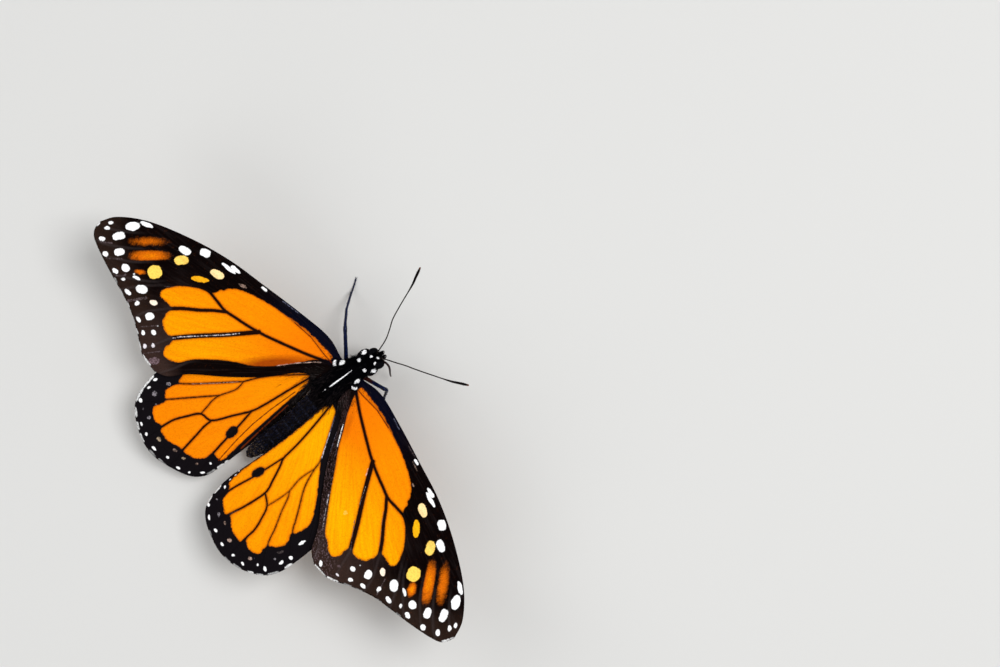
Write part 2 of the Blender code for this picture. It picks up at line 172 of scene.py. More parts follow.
# Thin lines as (half width, colour name, points): red, rusty, brown and dark scales, and pale, grey
# and blue-grey painted highlights and painted sheen along the raised veins
PALE_LINES = {
    ("fore", "left"): [
        (0.16, "dark_red", FRONT_VEIN[:4]), (0.16, "grey_sheen", [(27.6, -22.3), (25.6, -19.6)]),
        (0.13, "pearl_and_glint", [(22.0, -19.0), (21.3, -17.8), (19.0, -14.8), (16.1, -11.1), (14.5, -8.8)]),
        (0.16, "grey_sheen", [(23.5, -25.5), (21.7, -22.7)]),
        (0.30, "grey_sheen", [(32.7, -20.6), (30.9, -17.6)]),
        (0.20, "grey_sheen", [(44.2, -16.6), (42.6, -15.2)]),
        (0.20, "grey_sheen", [(41.2, -18.0), (39.2, -15.8)]),
        (0.22, "grey_sheen", [(37.6, -19.0), (36.6, -17.4)]), (0.12, "blue_sheen", [(13.6, 1.2), (9.7, 1.9)]),
        (0.12, "pink_highlight", [(5.4, -8.0), (4.5, -6.6), (3.0, -4.3), (1.3, -2.1), (0.4, -1.2)]),
        (0.10, "blue_sheen", [(38.0, -5.2), (36.4, -4.9)]),
        (0.12, "grey_sheen", [(30.2, -13.3), (28.6, -11.6)])],
    ("fore", "right"): [
        (0.16, "dark_red", FRONT_VEIN[:4]), (0.14, "pearl_and_glint", [(12.8, -7.4), (13.5, -8.5)]),
        (0.09, "pearl_and_glint", [(15.1, -9.8), (16.9, -12.7)]),
        (0.14, "grey_sheen", [(18.4, -15.2), (22.2, -19.2)]),
        (0.12, "grey_sheen", [(20.9, -10.1), (25.5, -14.8)]),
        (0.13, "white", [(2.9, -5.9), (4.1, -7.6), (5.4, -9.3)]),
        (0.11, "pearl_and_glint", [(11.4, -16.1), (13.5, -18.6), (15.7, -21.1)]),
        (0.16, "grey_sheen", [(16.1, -22.0), (19.1, -25.6)]),
        (0.14, "blue_sheen", [(0.5, -4.9), (3.0, -8.0), (5.2, -11.2)]),
        (0.14, "mist", [(17.1, -0.3), (19.1, -0.7)]), (0.14, "blue_sheen", [(8.4, 2.0), (10.6, 1.5)]),
        (0.14, "grey_sheen", [(14.2, 0.9), (16.6, 0.6)]),
        (0.18, "grey_sheen", [(30.6, -17.6), (31.8, -20.6)])],
    ("hind", "left"): [
        (0.11, "dull_pink_and_glint", [(13.8, -18.7), (11.2, -15.6), (8.2, -11.8)]),
        (0.18, "maroon", [(-0.4, -5.4), (0.2, -11.4), (0.4, -15.6), (0.2, -20.2), (-0.4, -25.6)]),
        (0.26, "hind_border", [(-1.1, -4.8), (-0.95, -9.0), (-0.95, -19.0), (-1.3, -23.5)]),
        (0.26, "rust_dark", [(-1.55, -8.5), (-1.6, -15.0), (-1.7, -20.8)])],
    ("hind", "right"): [(0.12, "grey_sheen", [(4.6, -27.2), (4.1, -29.0)]),
                        (0.12, "blue_sheen", [(3.4, -1.9), (5.0, -4.3)]),
                        (0.13, "pearl_and_glint", [(5.2, -4.6), (8.0, -8.9)])],
}
# Pale lengths of the fringe: (from, to, brightness)
FRINGE_MARKS = {
    ("fore", "left"): [
        ((47.0, -14.4), (47.0, -15.1), 1.0), ((37.4, -19.6), (36.7, -19.9), 0.4),
        ((35.3, -20.3), (34.4, -20.7), 0.6), ((32.5, -21.1), (31.9, -21.4), 0.8),
        ((30.1, -22.3), (28.9, -22.8), 0.5), ((27.9, -23.4), (27.1, -23.6), 0.8),
        ((25.6, -24.7), (24.4, -25.4), 1.0), ((23.1, -25.9), (21.2, -26.1), 1.0)],
    ("fore", "right"): [
        ((22.7, -26.1), (20.0, -26.3), 0.9), ((25.1, -24.9), (23.3, -25.8), 1.0),
        ((27.5, -23.5), (26.3, -24.1), 0.4), ((29.5, -22.5), (28.5, -23.0), 0.35),
        ((33.4, -20.9), (32.6, -21.1), 0.25), ((37.6, -19.7), (36.8, -19.9), 0.25),
        ((46.7, -15.4), (46.3, -16.4), 0.8), ((47.1, -14.4), (46.9, -14.9), 0.5)],
    ("hind", "left"): [
        ((19.8, -23.5), (19.6, -26.2), 1.0), ((19.4, -26.7), (18.6, -29.2), 0.9),
        ((17.6, -30.4), (16.4, -31.3), 0.8), ((15.3, -32.2), (14.3, -32.8), 0.8),
        ((13.3, -33.3), (12.0, -33.8), 0.9),
        ((9.6, -34.2), (8.4, -34.3), 0.35), ((7.2, -34.1), (5.8, -34.0), 0.35),
        ((-1.1, -29.0), (-1.4, -27.6), 0.3), ((-1.5, -26.6), (-1.7, -25.6), 0.9),
        ((-1.7, -24.9), (-1.8, -24.5), 0.9)],
    ("hind", "right"): [
        ((19.4, -25.7), (19.2, -26.8), 1.0), ((18.8, -28.6), (18.0, -30.2), 0.5),
        ((17.2, -31.3), (16.5, -31.9), 0.6), ((15.6, -32.5), (14.9, -33.0), 1.0),
        ((13.4, -33.9), (12.0, -34.3), 0.5), ((11.0, -34.7), (9.8, -34.9), 0.5),
        ((4.6, -34.4), (3.8, -34.2), 0.35), ((-0.6, -31.3), (-1.2, -29.8), 1.0),
        ((-1.4, -28.7), (-1.6, -27.3), 0.9)],
}
# Soft rust streaks as (out, ahead, length, width, tilt, strength)
FORE_RUST = {
    "left": [(38.4, -9.9, 7.4, 1.8, -49, 0.55), (36.2, -11.5, 7.4, 2.4, -49, 1.0),
             (35.2, -15.0, 2.3, 1.0, -40, 0.9)],
    "right": [(38.3, -9.9, 7.4, 2.1, -48, 0.75), (36.4, -11.7, 7.6, 2.5, -48, 1.1),
              (35.3, -14.9, 2.6, 1.6, -55, 1.3)],
}
# Painted shade over the orange near the root, where the wing dips along the rear vein: (out, ahead,
# length, width, tilt, strength)
FORE_SHADE = {"left": [(5.6, -7.8, 15.0, 3.2, -52, 1.3)],
              "right": [(3.5, -5.0, 7.0, 1.4, -55, 0.4)]}

HIND_VEINS = {
    "left": [
        (0.14, 0.16, [(0.2, -0.9), (3.5, -4.6), (6.0, -8.0), (7.6, -11.0), (8.0, -11.5),
                      (11.2, -15.5), (14.7, -19.7), (19.6, -24.4)]),
        (0.14, 0.14, [(0.6, -0.6), (5.0, -2.0), (10.0, -5.3), (14.6, -10.5), (17.6, -15.5),
                      (19.6, -19.5)]),
        (0.13, 0.15, [(6.3, -8.4), (10.5, -10.7), (15.3, -15.6), (19.8, -21.3)]),
        (0.12, 0.13, [(7.6, -11.0), (7.5, -13.2), (8.7, -16.3), (8.9, -18.0), (8.7, -19.7),
                      (8.5, -21.5)]),
        (0.15, 0.18, [(8.7, -16.3), (11.8, -20.4), (15.1, -24.8), (18.4, -28.9)]),
        (0.22, 0.24, [(-0.2, -1.4), (0.8, -6.3), (1.7, -11.0), (2.5, -13.9), (4.2, -17.2),
                      (6.2, -20.9), (8.5, -21.5), (9.9, -23.8), (11.1, -26.3), (11.6, -28.8),
                      (12.4, -33.6)]),
        (0.20, 0.26, [(6.2, -20.9), (6.3, -22.9), (6.1, -24.8), (5.7, -29.0), (5.2, -34.0)]),
        (0.20, 0.26, [(2.5, -13.9), (2.0, -18.2), (1.9, -20.0), (1.4, -25.0), (0.8, -29.5),
                      (0.3, -31.6)]),
    ],
    "right": [
        (0.10, 0.15, [(2.9, -1.2), (5.3, -4.7), (8.0, -8.9), (8.7, -11.3), (10.0, -14.6),
                      (12.1, -17.6), (13.8, -20.0), (14.9, -21.6), (19.2, -25.8)]),
        (0.14, 0.14, [(1.2, -0.6), (5.4, -2.2), (10.4, -5.6), (14.8, -10.9), (17.7, -16.0),
                      (19.5, -20.0)]),
        (0.12, 0.14, [(8.3, -9.2), (10.9, -11.2), (15.5, -16.2), (19.4, -21.6)]),
        (0.10, 0.10, [(8.6, -11.0), (8.2, -14.4), (8.6, -17.3), (8.4, -19.7), (7.9, -22.4)]),
        (0.11, 0.15, [(8.6, -17.3), (9.4, -18.3), (10.6, -20.9), (12.3, -24.0), (13.5, -26.6),
                      (16.7, -30.6)]),
        (0.22, 0.24, [(1.1, -1.2), (2.1, -6.4), (2.7, -10.5), (3.0, -14.4), (3.5, -15.3),
                      (4.9, -18.6), (5.7, -21.1), (5.0, -25.6), (4.0, -29.4), (3.6, -33.6)]),
        (0.18, 0.26, [(5.7, -21.1), (7.9, -22.4), (9.0, -24.7), (9.7, -27.0), (9.8, -29.4),
                      (10.4, -34.2)]),
        (0.18, 0.24, [(3.0, -14.0), (2.2, -18.5), (1.6, -21.5), (0.7, -25.1), (0.2, -28.5),
                      (-0.5, -31.6)]),
    ],
}
# The hindwing's orange field from the front round the outer side to the inner fold
HIND_FIELD = {
    "left": [(0.4, -0.2), (3.0, 0.4), (7.5, -1.0), (11.5, -4.4), (14.8, -9.6), (16.5, -14.5),
             (16.1, -19.3), (15.7, -20.7), (16.1, -22.2), (16.1, -23.6), (14.8, -25.3),
             (15.4, -27.2), (14.7, -28.4), (13.2, -29.2), (12.0, -29.0), (11.0, -29.8),
             (8.8, -30.1), (6.6, -29.4), (5.0, -29.3), (2.9, -28.7), (1.6, -27.0), (1.2, -25.4),
             (0.2, -25.4), (-0.9, -25.0)],
    "right": [(1.0, -0.9), (1.3, -0.8), (3.1, -1.4), (5.5, -4.9), (8.3, -9.0), (10.7, -11.7),
              (13.3, -14.4), (15.6, -17.4),
              (16.0, -19.3), (15.4, -21.6), (15.1, -22.3), (15.7, -23.5), (15.7, -24.5),
              (14.9, -25.9), (14.0, -26.7), (13.6, -27.9), (13.8, -28.8), (13.4, -29.5),
              (12.5, -30.0), (11.3, -30.1), (10.2, -29.7), (9.8, -29.8), (9.6, -30.5),
              (8.5, -30.7), (6.9, -30.5), (6.1, -30.2), (4.9, -29.3), (4.6, -29.1), (3.5, -29.6),
              (2.5, -29.2), (1.2, -28.6), (0.3, -26.6), (-0.3, -25.7), (-0.9, -25.2)],
}
HIND_SPOTS = {
    "left": [
        (19.3, -20.3, 1.2, 0.8, 80, "white"), (19.0, -23.4, 1.0, 0.6, -65, "white"),
        (18.7, -25.5, 0.8, 0.6, -75, "white"), (18.0, -28.4, 1.0, 0.8, 65, "white"),
        (16.5, -29.2, 0.5, 0.4, 50, "ash"), (14.6, -31.6, 1.0, 0.6, 15, "white"),
        (12.5, -32.3, 0.8, 0.6, 30, "white"), (9.5, -33.2, 1.1, 0.6, 0, "white"),
        (6.5, -32.5, 0.8, 0.6, -15, "white"), (3.7, -32.5, 1.0, 0.6, -20, "white"),
        (1.6, -31.5, 0.7, 0.6, -60, "white"), (-0.1, -29.6, 1.0, 0.6, -50, "white"),
        (0.2, -27.2, 0.6, 0.6, -60, "white"), (-1.2, -28.6, 0.6, 0.3, -50, "ash"),
        (16.7, -22.1, 1.0, 0.8, -55, "ash"), (17.2, -25.5, 1.2, 1.1, 85, "ash"),
        (15.5, -26.7, 0.6, 0.4, -50, "ash"), (14.5, -29.6, 1.0, 0.7, -30, "ash"),
        (10.2, -31.2, 1.1, 0.9, 10, "buff"), (6.6, -30.4, 1.0, 0.8, -30, "mist"),
        (4.4, -30.3, 1.0, 0.6, -30, "buff"), (1.9, -29.2, 0.8, 0.6, -55, "mist")],
    "right": [
        (-0.7, -26.6, 0.8, 0.5, -45, "white"), (0.1, -29.1, 0.5, 0.5, 0, "ash"),
        (-0.2, -31.1, 0.8, 0.6, -35, "white"), (1.7, -32.5, 1.1, 0.6, -35, "white"),
        (4.6, -33.0, 0.9, 0.6, 5, "white"), (7.4, -33.6, 1.0, 0.6, -5, "white"),
        (10.6, -33.2, 0.8, 0.6, 45, "white"), (13.0, -32.8, 1.0, 0.6, -5, "white"),
        (15.1, -30.6, 0.6, 0.5, -75, "white"), (16.7, -30.0, 1.2, 0.7, -20, "white"),
        (17.8, -26.9, 1.0, 0.7, -85, "white"), (18.4, -24.9, 0.9, 0.8, 45, "white"),
        (17.6, -21.5, 1.7, 0.6, 75, "white"), (16.5, -27.5, 0.6, 0.5, 45, "ash"),
        (2.6, -30.7, 1.1, 0.6, -35, "ash"), (4.7, -30.7, 0.8, 0.6, -30, "mist"),
        (7.9, -32.0, 1.2, 0.8, 15, "dull_pink_and_glint"), (13.2, -31.1, 1.0, 0.7, 45, "dull_pink_and_glint"),
        # The small blue-grey dot among these is a painted glint
        (13.8, -30.5, 0.3, 0.3, 0, "blue_sheen"), (16.2, -25.8, 1.5, 0.6, 60, "dark_grey"),
        (-1.2, -24.9, 0.6, 0.3, 85, "white"), (-1.2, -23.6, 0.6, 0.3, 85, "white"),
        (-1.3, -22.6, 0.5, 0.3, 85, "white")],
}
# The male's black scent patch on each hindwing: (out, ahead, length, width, tilt)
SCENT_PATCH = {"left": (1.95, -19.7, 2.9, 1.8, 85), "right": (1.6, -19.8, 2.8, 1.8, 72)}

# Colours as they look, 0 to 255
# Some of these paint light: the pearly, pinkish, grey and blue-grey lines are painted highlights
# and sheen on the veins, and the costa's blue-black is a painted blue sheen
PAINTS = {
    "white": (252, 252, 253), "mist": (140, 116, 104), "cream": (255, 222, 160),
    "butter": (252, 208, 100), "amber": (246, 172, 24), "yellow": (253, 210, 92),
    "amber_light": (250, 178, 20), "cream_soft": (255, 234, 214), "pearl_and_glint": (226, 220, 226),
    "mauve": (112, 92, 98), "grey_sheen": (84, 72, 74), "blue_sheen": (112, 114, 138), "fleck": (255, 196, 84),
    "pink_highlight": (206, 172, 158), "dull_pink_and_glint": (176, 150, 138), "ash": (136, 130, 136),
    "buff": (166, 146, 122), "maroon": (104, 36, 8),
    "dark_grey": (66, 58, 58), "rust": (206, 100, 8), "rust_dark": (112, 44, 14),
    "orange_deep": (238, 118, 4), "orange": (240, 138, 3), "orange_pale": (242, 170, 3),
    "dusky_orange": (158, 66, 6),
    "dark_red": (84, 26, 8), "vein_red": (28, 11, 7),
    "apex": (9, 4, 4), "border": (38, 26, 21), "tornus": (70, 52, 48), "hind_border": (17, 14, 17),
    "costa_blue_sheen": (6, 8, 24), "fold": (84, 42, 24), "under_buff": (222, 178, 120),
    "under_orange": (236, 148, 40), "under_pale": (238, 190, 104)}
# Lines that are painted solid, and spots of mixed scales
SOLID = ("maroon", "dark_red", "hind_border", "rust_dark")
DULL = ("ash", "buff", "mist", "dark_grey", "dull_pink_and_glint", "mauve", "fleck")


def paint(name):
    """One of the colours above as Blender's linear RGBA."""
    return (*[linear(c / 255) for c in PAINTS[name]], 1.0)


def linear(c):
    """A display value from 0 to 1 as linear light."""
    return c / 12.92 if c <= 0.04045 else ((c + 0.055) / 1.055) ** 2.4


# ---------------------------------------------------------------- lines and distances


def at(left, ahead, up):
    """A place on the body, in the model's metres."""
    return Vector((left - CENTRE_LEFT, -ahead + CENTRE_AHEAD, up)) * 0.001


def places(points):
    """Rows of (left, ahead, up) in millimetres as an array in the model's metres."""
    p = np.asarray(points, float)
    return np.stack([p[:, 0] - CENTRE_LEFT, -p[:, 1] + CENTRE_AHEAD, p[:, 2]], 1) * 0.001


def unit(rows):
    """Each row as a direction of length 1."""
    return rows / (np.linalg.norm(rows, axis=1)[:, None] + 1e-12)


def read_line(line, share):
    """A line's rows at shares of the way along its points."""
    count = len(line) - 1
    return np.stack([np.interp(share * count, np.arange(count + 1), column)
                     for column in line.T], 1)


def evenly(p, steps):
    """A line's rows at even distances, and its own points' shares of the way."""
    gone = np.concatenate([[0], np.cumsum(np.linalg.norm(np.diff(p, axis=0), axis=1))])
    wanted = np.linspace(0, gone[-1], steps + 1)
    return np.stack([np.interp(wanted, gone, column) for column in p.T], 1), gone / gone[-1]


def smooth_line(points, steps):
    """A Catmull-Rom line through the points, read at even distances, as an array."""
    p = np.asarray(points, float)
    p = np.vstack([2 * p[0] - p[1], p, 2 * p[-1] - p[-2]])
    t = np.arange(1, 9)[:, None] / 8
    runs = [p[1:2]]
    for a, b, c, d in zip(p, p[1:], p[2:], p[3:]):
        runs.append(0.5 * (2 * b + (c - a) * t + (2 * a - 5 * b + 4 * c - d) * t * t
                           + (3 * b - a - 3 * c + d) * t ** 3))
    return evenly(np.vstack(runs), steps)[0]


def to_line(p, line):
    """Each point's distance to a line, and how far along the line its nearest place is."""
    a, b = line[:-1], line[1:]
    ab = b - a
    best = np.full(len(p), 1e9)
    along = np.zeros(len(p))
    for k in range(len(a)):
        t = np.clip(((p - a[k]) @ ab[k]) / max(ab[k] @ ab[k], 1e-12), 0, 1)
        d = np.linalg.norm(p - (a[k] + t[:, None] * ab[k]), axis=1)
        nearer = d < best
        best[nearer] = d[nearer]
        along[nearer] = ((k + t) / len(a))[nearer]
    return best, along


def inside(p, outline):
    """Whether each point is inside a closed outline."""
    held = np.zeros(len(p), bool)
    for a, b in zip(outline, np.roll(outline, -1, axis=0)):
        crosses = (a[1] > p[:, 1]) != (b[1] > p[:, 1])
        reach = a[0] + (p[:, 1] - a[1]) / np.where(b[1] == a[1], 1e-9, b[1] - a[1]) * (b[0] - a[0])
        held ^= crosses & (p[:, 0] < reach)
    return held


def spot_axes(p, out, ahead, length, width, tilt):
    """How far each point is along and across a spot, with 1 at its ends and sides."""
    turn = math.radians(tilt)
    d = p - np.array([out, ahead])
    return ((d[:, 0] * math.cos(turn) + d[:, 1] * math.sin(turn)) / (length / 2),
            (-d[:, 0] * math.sin(turn) + d[:, 1] * math.cos(turn)) / (width / 2))


def spot_distance(p, out, ahead, length, width, tilt, square=2.0):
    """Distance inside (above 0) or outside (below 0) an oval spot, or a squarer one."""
    x, y = spot_axes(p, out, ahead, length, width, tilt)
    q = (np.abs(x) ** square + np.abs(y) ** square) ** (1 / square) + 1e-6
    slope = np.sqrt((x / (length / 2)) ** 2 + (y / (width / 2)) ** 2) / np.hypot(x, y).clip(1e-6)
    return (1 - q) / np.maximum(slope, 1e-3)


def wobble(p, size):
    """Places shifted a little this way and that, so that no outline is quite even."""
    x, y = p[:, 0], p[:, 1]
    out = np.sin(2.7 * y + 2.0 * np.sin(1.9 * x)) + 0.5 * np.sin(6.1 * y - 4.3 * x)
    ahead = np.sin(2.3 * x + 2.0 * np.sin(2.1 * y)) + 0.5 * np.sin(5.3 * x + 4.7 * y)
    return p + size * np.stack([out, ahead], 1)


def spot_fade(p, out, ahead, length, width, tilt, strength):
    """A soft spot: full in its middle and fading out past its rim."""
    x, y = spot_axes(p, out, ahead, length, width, tilt)
    return strength * np.clip(1.25 - np.sqrt(x * x + y * y), 0, 1)


def soft_least(a, b, blend):
    """The lesser of two distances, rounded where they meet."""
    h = np.clip(0.5 + 0.5 * (b - a) / blend, 0, 1)
    return b + (a - b) * h - blend * h * (1 - h)


# ---------------------------------------------------------------- wings


def edge_lines(kind, word):
    """The four edges of a wing: front, outer, rear and root."""
    if kind == "fore":
        return FORE_COSTA, FORE_MARGIN, FORE_REAR, FORE_ROOT
    return HIND_COSTA, HIND_MARGIN[word], HIND_REAR, HIND_ROOT


def ruled_places(kind, word, s, t):
    """(out, ahead) for shares s of the way out and t of the way back between a wing's edges."""
    costa, margin, rear, root = [smooth_line(edge, EDGE_STEPS) for edge in edge_lines(kind, word)]
    s1, t1 = s[:, None], t[:, None]
    ruled = ((1 - t1) * read_line(costa, s) + t1 * read_line(rear, s)
             + (1 - s1) * read_line(root, t) + s1 * read_line(margin, t))
    corners = ((1 - s1) * ((1 - t1) * costa[0] + t1 * rear[0])
               + s1 * ((1 - t1) * costa[-1] + t1 * rear[-1]))
    return ruled - corners


def wing_places(kind, word, s, t):
    """(out, ahead) on the flat membrane, which leaves room for the fringe along its outer edge."""
    flat = ruled_places(kind, word, s, t)
    inward = ruled_places(kind, word, s - 0.01, t) - flat
    size = np.maximum(np.linalg.norm(inward, axis=1), 1e-6)
    room = FRINGE_ROOM * np.clip(1 - (1 - s) * size * 33, 0, 1) ** 2
    return flat + inward * (room / size)[:, None]


def fold_line(word, ahead):
    """How far out a hindwing's inner fold lies."""
    near, far = FOLDS[word][:2]
    return near + (far - near) * np.clip((-4.0 - ahead) / 20.0, 0, 1) ** 2


def wing_shape(kind, word, s, t):
    """Flat places and the wing's own surface in millimetres, before it is set at its root."""
    flat = wing_places(kind, word, s, t)
    rise = CAMBER[kind] * np.sin(np.pi * np.minimum(0.15 + 0.85 * s, 1.0)) * np.sin(np.pi * t)
    out = flat[:, 0].copy()
    if kind == "hind":
        angle, keep = FOLDS[word][2:]
        line = fold_line(word, flat[:, 1])
        past = np.maximum(line - out, 0.0)
        beyond = np.minimum(past, keep + 0.08 * past)
        rise = rise * np.clip((out - line) / 4.0, 0, 1) - beyond * math.sin(math.radians(angle))
        out = np.maximum(out, line) - beyond * math.cos(math.radians(angle))
    return flat, np.stack([SIDES[word] * out, -flat[:, 1], rise], 1)


def wing_matrix(kind, word):
    """Where a wing is set on the body."""
    root, lead_up, tip_up, swept = WING_POSE[kind, word]
    side = SIDES[word]
    height = FOREWING_HEIGHT if kind == "fore" else HINDWING_HEIGHT
    turn = Euler([math.radians(a) for a in (-lead_up, -side * tip_up, -side * swept)])
    return Matrix.Translation(at(side * root[0], root[1], height)) @ turn.to_matrix().to_4x4()


def set_on_body(points, kind, word):
    """Wing places in millimetres as the model's metres."""
    m = np.array(wing_matrix(kind, word))
    return points * 0.001 @ m[:3, :3].T + m[:3, 3]


def field_distance(flat, kind, word, edge):
    """Distance inside (above 0) or outside a wing's orange field, which its veins part."""
    if kind == "fore":
        outline = FORE_FIELD + FORE_REAR_VEIN[word][::-1]
    else:
        inner = [(-0.85, v) if word == "left" else (fold_line(word, np.array([v]))[0] + 0.25, v)
                 for v in (-21.0, -14.0, -8.0, -3.0)]
        outline = HIND_FIELD[word] + inner
    field = smooth_line(outline + outline[:1], 260)
    d = to_line(flat, field)[0]
    return soft_least(np.where(inside(flat, field[:-1]), d, -d), edge, 0.5)


def wing_marks(kind, word, flat):
    """The wing's markings as distances in millimetres and soft masks, one value to a place."""
    fore = kind == "fore"
    veins = HIND_VEINS[word]
    if fore:
        veins = FORE_VEINS + [(0.40, 0.35, [(-0.6, -0.9), *FORE_REAR_VEIN[word], (17.6, -23.0),
                                            (18.6, -25.6)])]
    nearest = np.full(len(flat), 1e9)
    edge = np.full(len(flat), 1e9)
    for near, far, points in veins:
        d, along = to_line(flat, smooth_line(points, 6 * len(points)))
        nearest = np.minimum(nearest, d)
        edge = np.minimum(edge, d - (near + (far - near) * along) * (1.0 if fore else 0.85))
    loose = wobble(flat, 0.04)
    cell = field_distance(loose, kind, word, edge)
    spots = FORE_SPOTS + FORE_EXTRAS[word] if fore else HIND_SPOTS[word]
    spot = np.full(len(flat), -1e9)
    dotted = np.zeros(len(flat))
    tint = np.zeros((len(flat), 4))
    marks = [(spot_distance(loose, *oval, *square), paint(name), 0.9 * (name in DULL))
             for *oval, name, square in [(*row[:6], row[6:]) for row in spots]]
    marks += [(half - to_line(flat, np.array(points))[0], paint(name), float(name not in SOLID))
              for half, name, points in PALE_LINES[kind, word]]
    marks += [(FRINGE_ROOM + RIM_PALE - to_line(flat, np.array(ends))[0],
               (*[0.8 * bright] * 3, 1), 0.4)
              for *ends, bright in FRINGE_MARKS[kind, word]]
    for d, colour, broken in marks:
        nearer = d > spot
        spot[nearer] = d[nearer]
        tint[nearer] = colour
        dotted[nearer] = broken
    rim = to_line(flat, smooth_line(edge_lines(kind, word)[1], 120))[0]
    values = {"vein": nearest, "vein_edge": edge, "spot": spot, "dotted": dotted, "rim": rim,
              "reach": flat[:, 0],
              "within": field_distance(flat, kind, word, np.full(len(flat), 9.0))}
    left = word == "left"
    if fore:
        rust = np.max([spot_fade(loose, *streak) for streak in FORE_RUST[word]], axis=0)
        values["rust"] = rust * np.clip((nearest - 0.12) / 0.3, 0, 1)
        # Painted shade along the rear vein near the root
        values["dusky_orange"] = np.max([spot_fade(flat, *patch) for patch in FORE_SHADE[word]], axis=0)
        values["rearward"] = np.clip((-6 - flat[:, 1]) / 10, 0, 1) * (0.5 if left else 1.0)
        # The front of the forewing, where the black near the root is painted with a blue sheen
        values["lead"] = np.clip((flat[:, 1] + 0.25 * flat[:, 0] + 1.0) / 2.0, 0, 1)
        brown = np.clip((-flat[:, 1] - 0.95 * flat[:, 0] - 1.5) / 1.5, 0, 1)
        values["brown"] = brown * (0.0 if left else 0.85)
        values["black"] = brown * np.clip((rim - 2.5) / 3.0, 0, 1) * (0.95 if left else 0.0)
    else:
        patch = -spot_distance(flat, *SCENT_PATCH[word])
        values["under_cell"] = np.minimum(field_distance(loose, kind, "left", edge), patch)
        cell = np.minimum(cell, patch)
        values["within"] = np.minimum(values["within"], patch)
        values["warmth"] = np.full(len(flat), 0.6 if left else 0.0)
        values["fold"] = fold_line(word, flat[:, 1]) - flat[:, 0] - (0.9 if left else 0.0)
        values["rearward"] = 0.7 * np.clip((-8 - flat[:, 1]) / 14, 0, 1)
    values["cell"] = cell
    return values, tint


def deselect():
    """Nothing stays selected, so the next operator acts on its own piece alone."""
    bpy.ops.object.select_all(action="DESELECT")


def pick(obj):
    """Select one piece alone, as the active one."""
    deselect()
    obj.select_set(True)
    bpy.context.view_layer.objects.active = obj


def face_outward(obj):
    """Turn a closed piece's faces outward."""
    pick(obj)
    bpy.ops.object.mode_set(mode="EDIT")
    bpy.ops.mesh.select_all(action="SELECT")
    bpy.ops.mesh.normals_make_consistent(inside=False)
    bpy.ops.object.mode_set(mode="OBJECT")


def apply_all(obj):
    """Apply a piece's modifiers."""
    pick(obj)
    for modifier in list(obj.modifiers):
        bpy.ops.object.modifier_apply(modifier=modifier.name)


def give_values(mesh, values, tint=None):
    """Store a piece's markings on its points."""
    for name, value in values.items():
        layer = mesh.attributes.new(name, "FLOAT", "POINT")
        layer.data.foreach_set("value", np.asarray(value, np.float32))
    if tint is not None:
        layer = mesh.color_attributes.new("tint", "FLOAT_COLOR", "POINT")
        layer.data.foreach_set("color", np.asarray(tint, np.float32).ravel())


def give_map(mesh, name, uv):
    """Store a flat map of a piece's points."""
    layer = mesh.uv_layers.new(name=name)
    corner = np.empty(len(mesh.loops), np.int32)
    mesh.loops.foreach_get("vertex_index", corner)
    layer.data.foreach_set("uv", np.asarray(uv, np.float32)[corner].ravel())


def coords(mesh):
    """A mesh's points as an array."""
    found = np.empty(len(mesh.vertices) * 3, np.float32)
    mesh.vertices.foreach_get("co", found)
    return found.reshape(-1, 3).astype(float)


def set_coords(mesh, points):
    """Move a mesh's points."""
    mesh.vertices.foreach_set("co", np.asarray(points, np.float32).ravel())
    mesh.update()


def normals(mesh):
    """The direction that each point of a mesh faces."""
    found = np.empty(len(mesh.vertices) * 3, np.float32)
    mesh.vertex_normals.foreach_get("vector", found)
    return found.reshape(-1, 3).astype(float)


def make_wing(kind, word, look):
    """One wing: a sheet with raised veins, an upper and an under face, and its markings."""
    across, deep = WING_GRID[kind]
    deselect()
    bpy.ops.mesh.primitive_grid_add(x_subdivisions=across, y_subdivisions=deep, size=1.0)
    wing = bpy.context.object
    wing.name = wing.data.name = f"{word}_{kind}wing"
    mesh = wing.data
    start = coords(mesh) + 0.5
    s = np.clip(start[:, 0] if SIDES[word] > 0 else 1.0 - start[:, 0], 0, 1)
    t = np.clip(start[:, 1], 0, 1)
    flat, shape = wing_shape(kind, word, s, t)
    values, tint = wing_marks(kind, word, flat)
    values["inland"] = np.minimum(np.minimum(s, 1 - s) * 40, np.minimum(t, 1 - t) * 25)
    set_coords(mesh, set_on_body(shape, kind, word))
    give_values(mesh, values, tint)
    away = flat - np.array([-4.0, 2.0])
    turn = np.arctan2(-away[:, 1], away[:, 0])
    give_map(mesh, "lie", np.stack([np.linalg.norm(away, axis=1), turn * 22.0], 1) * 0.02)
    middle, facing = coords(mesh), normals(mesh)
    for material in (wing_material(kind, False), wing_material(kind, True)):
        mesh.materials.append(material)
    thick = wing.modifiers.new("Thickness", "SOLIDIFY")
    thick.thickness = 0.001 * look.thickness_mm
    thick.offset = 0.0
    thick.material_offset = 1
    thick.material_offset_rim = 0
    apply_all(wing)
    vein = values["vein"]
    swell = 0.16 * np.exp(-(vein / 1.1) ** 2) * np.clip(values["inland"], 0, 1)
    ridge = look.vein_mm * np.exp(-(vein / 0.24) ** 2) + 0.5 * look.thickness_mm
    middle = middle + facing * (swell * 0.001)[:, None]
    lift = facing * (ridge * 0.001)[:, None]
    set_coords(mesh, np.vstack([middle + lift, middle - lift]))
    mesh.shade_smooth()
    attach(wing, "root")
    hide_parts(f"{kind}wing_{word}")
    return wing


# ---------------------------------------------------------------- finishes


def node(tree, kind, inputs=None, **settings):
    """A new shader node with its settings and inputs, which are numbers or other nodes' sockets."""
    made = tree.nodes.new(kind)
    for name, value in settings.items():
        setattr(made, name, value)
    for name, value in (inputs or {}).items():
        if isinstance(value, bpy.types.NodeSocket):
            tree.links.new(value, made.inputs[name])
        else:
            made.inputs[name].default_value = value
    return made


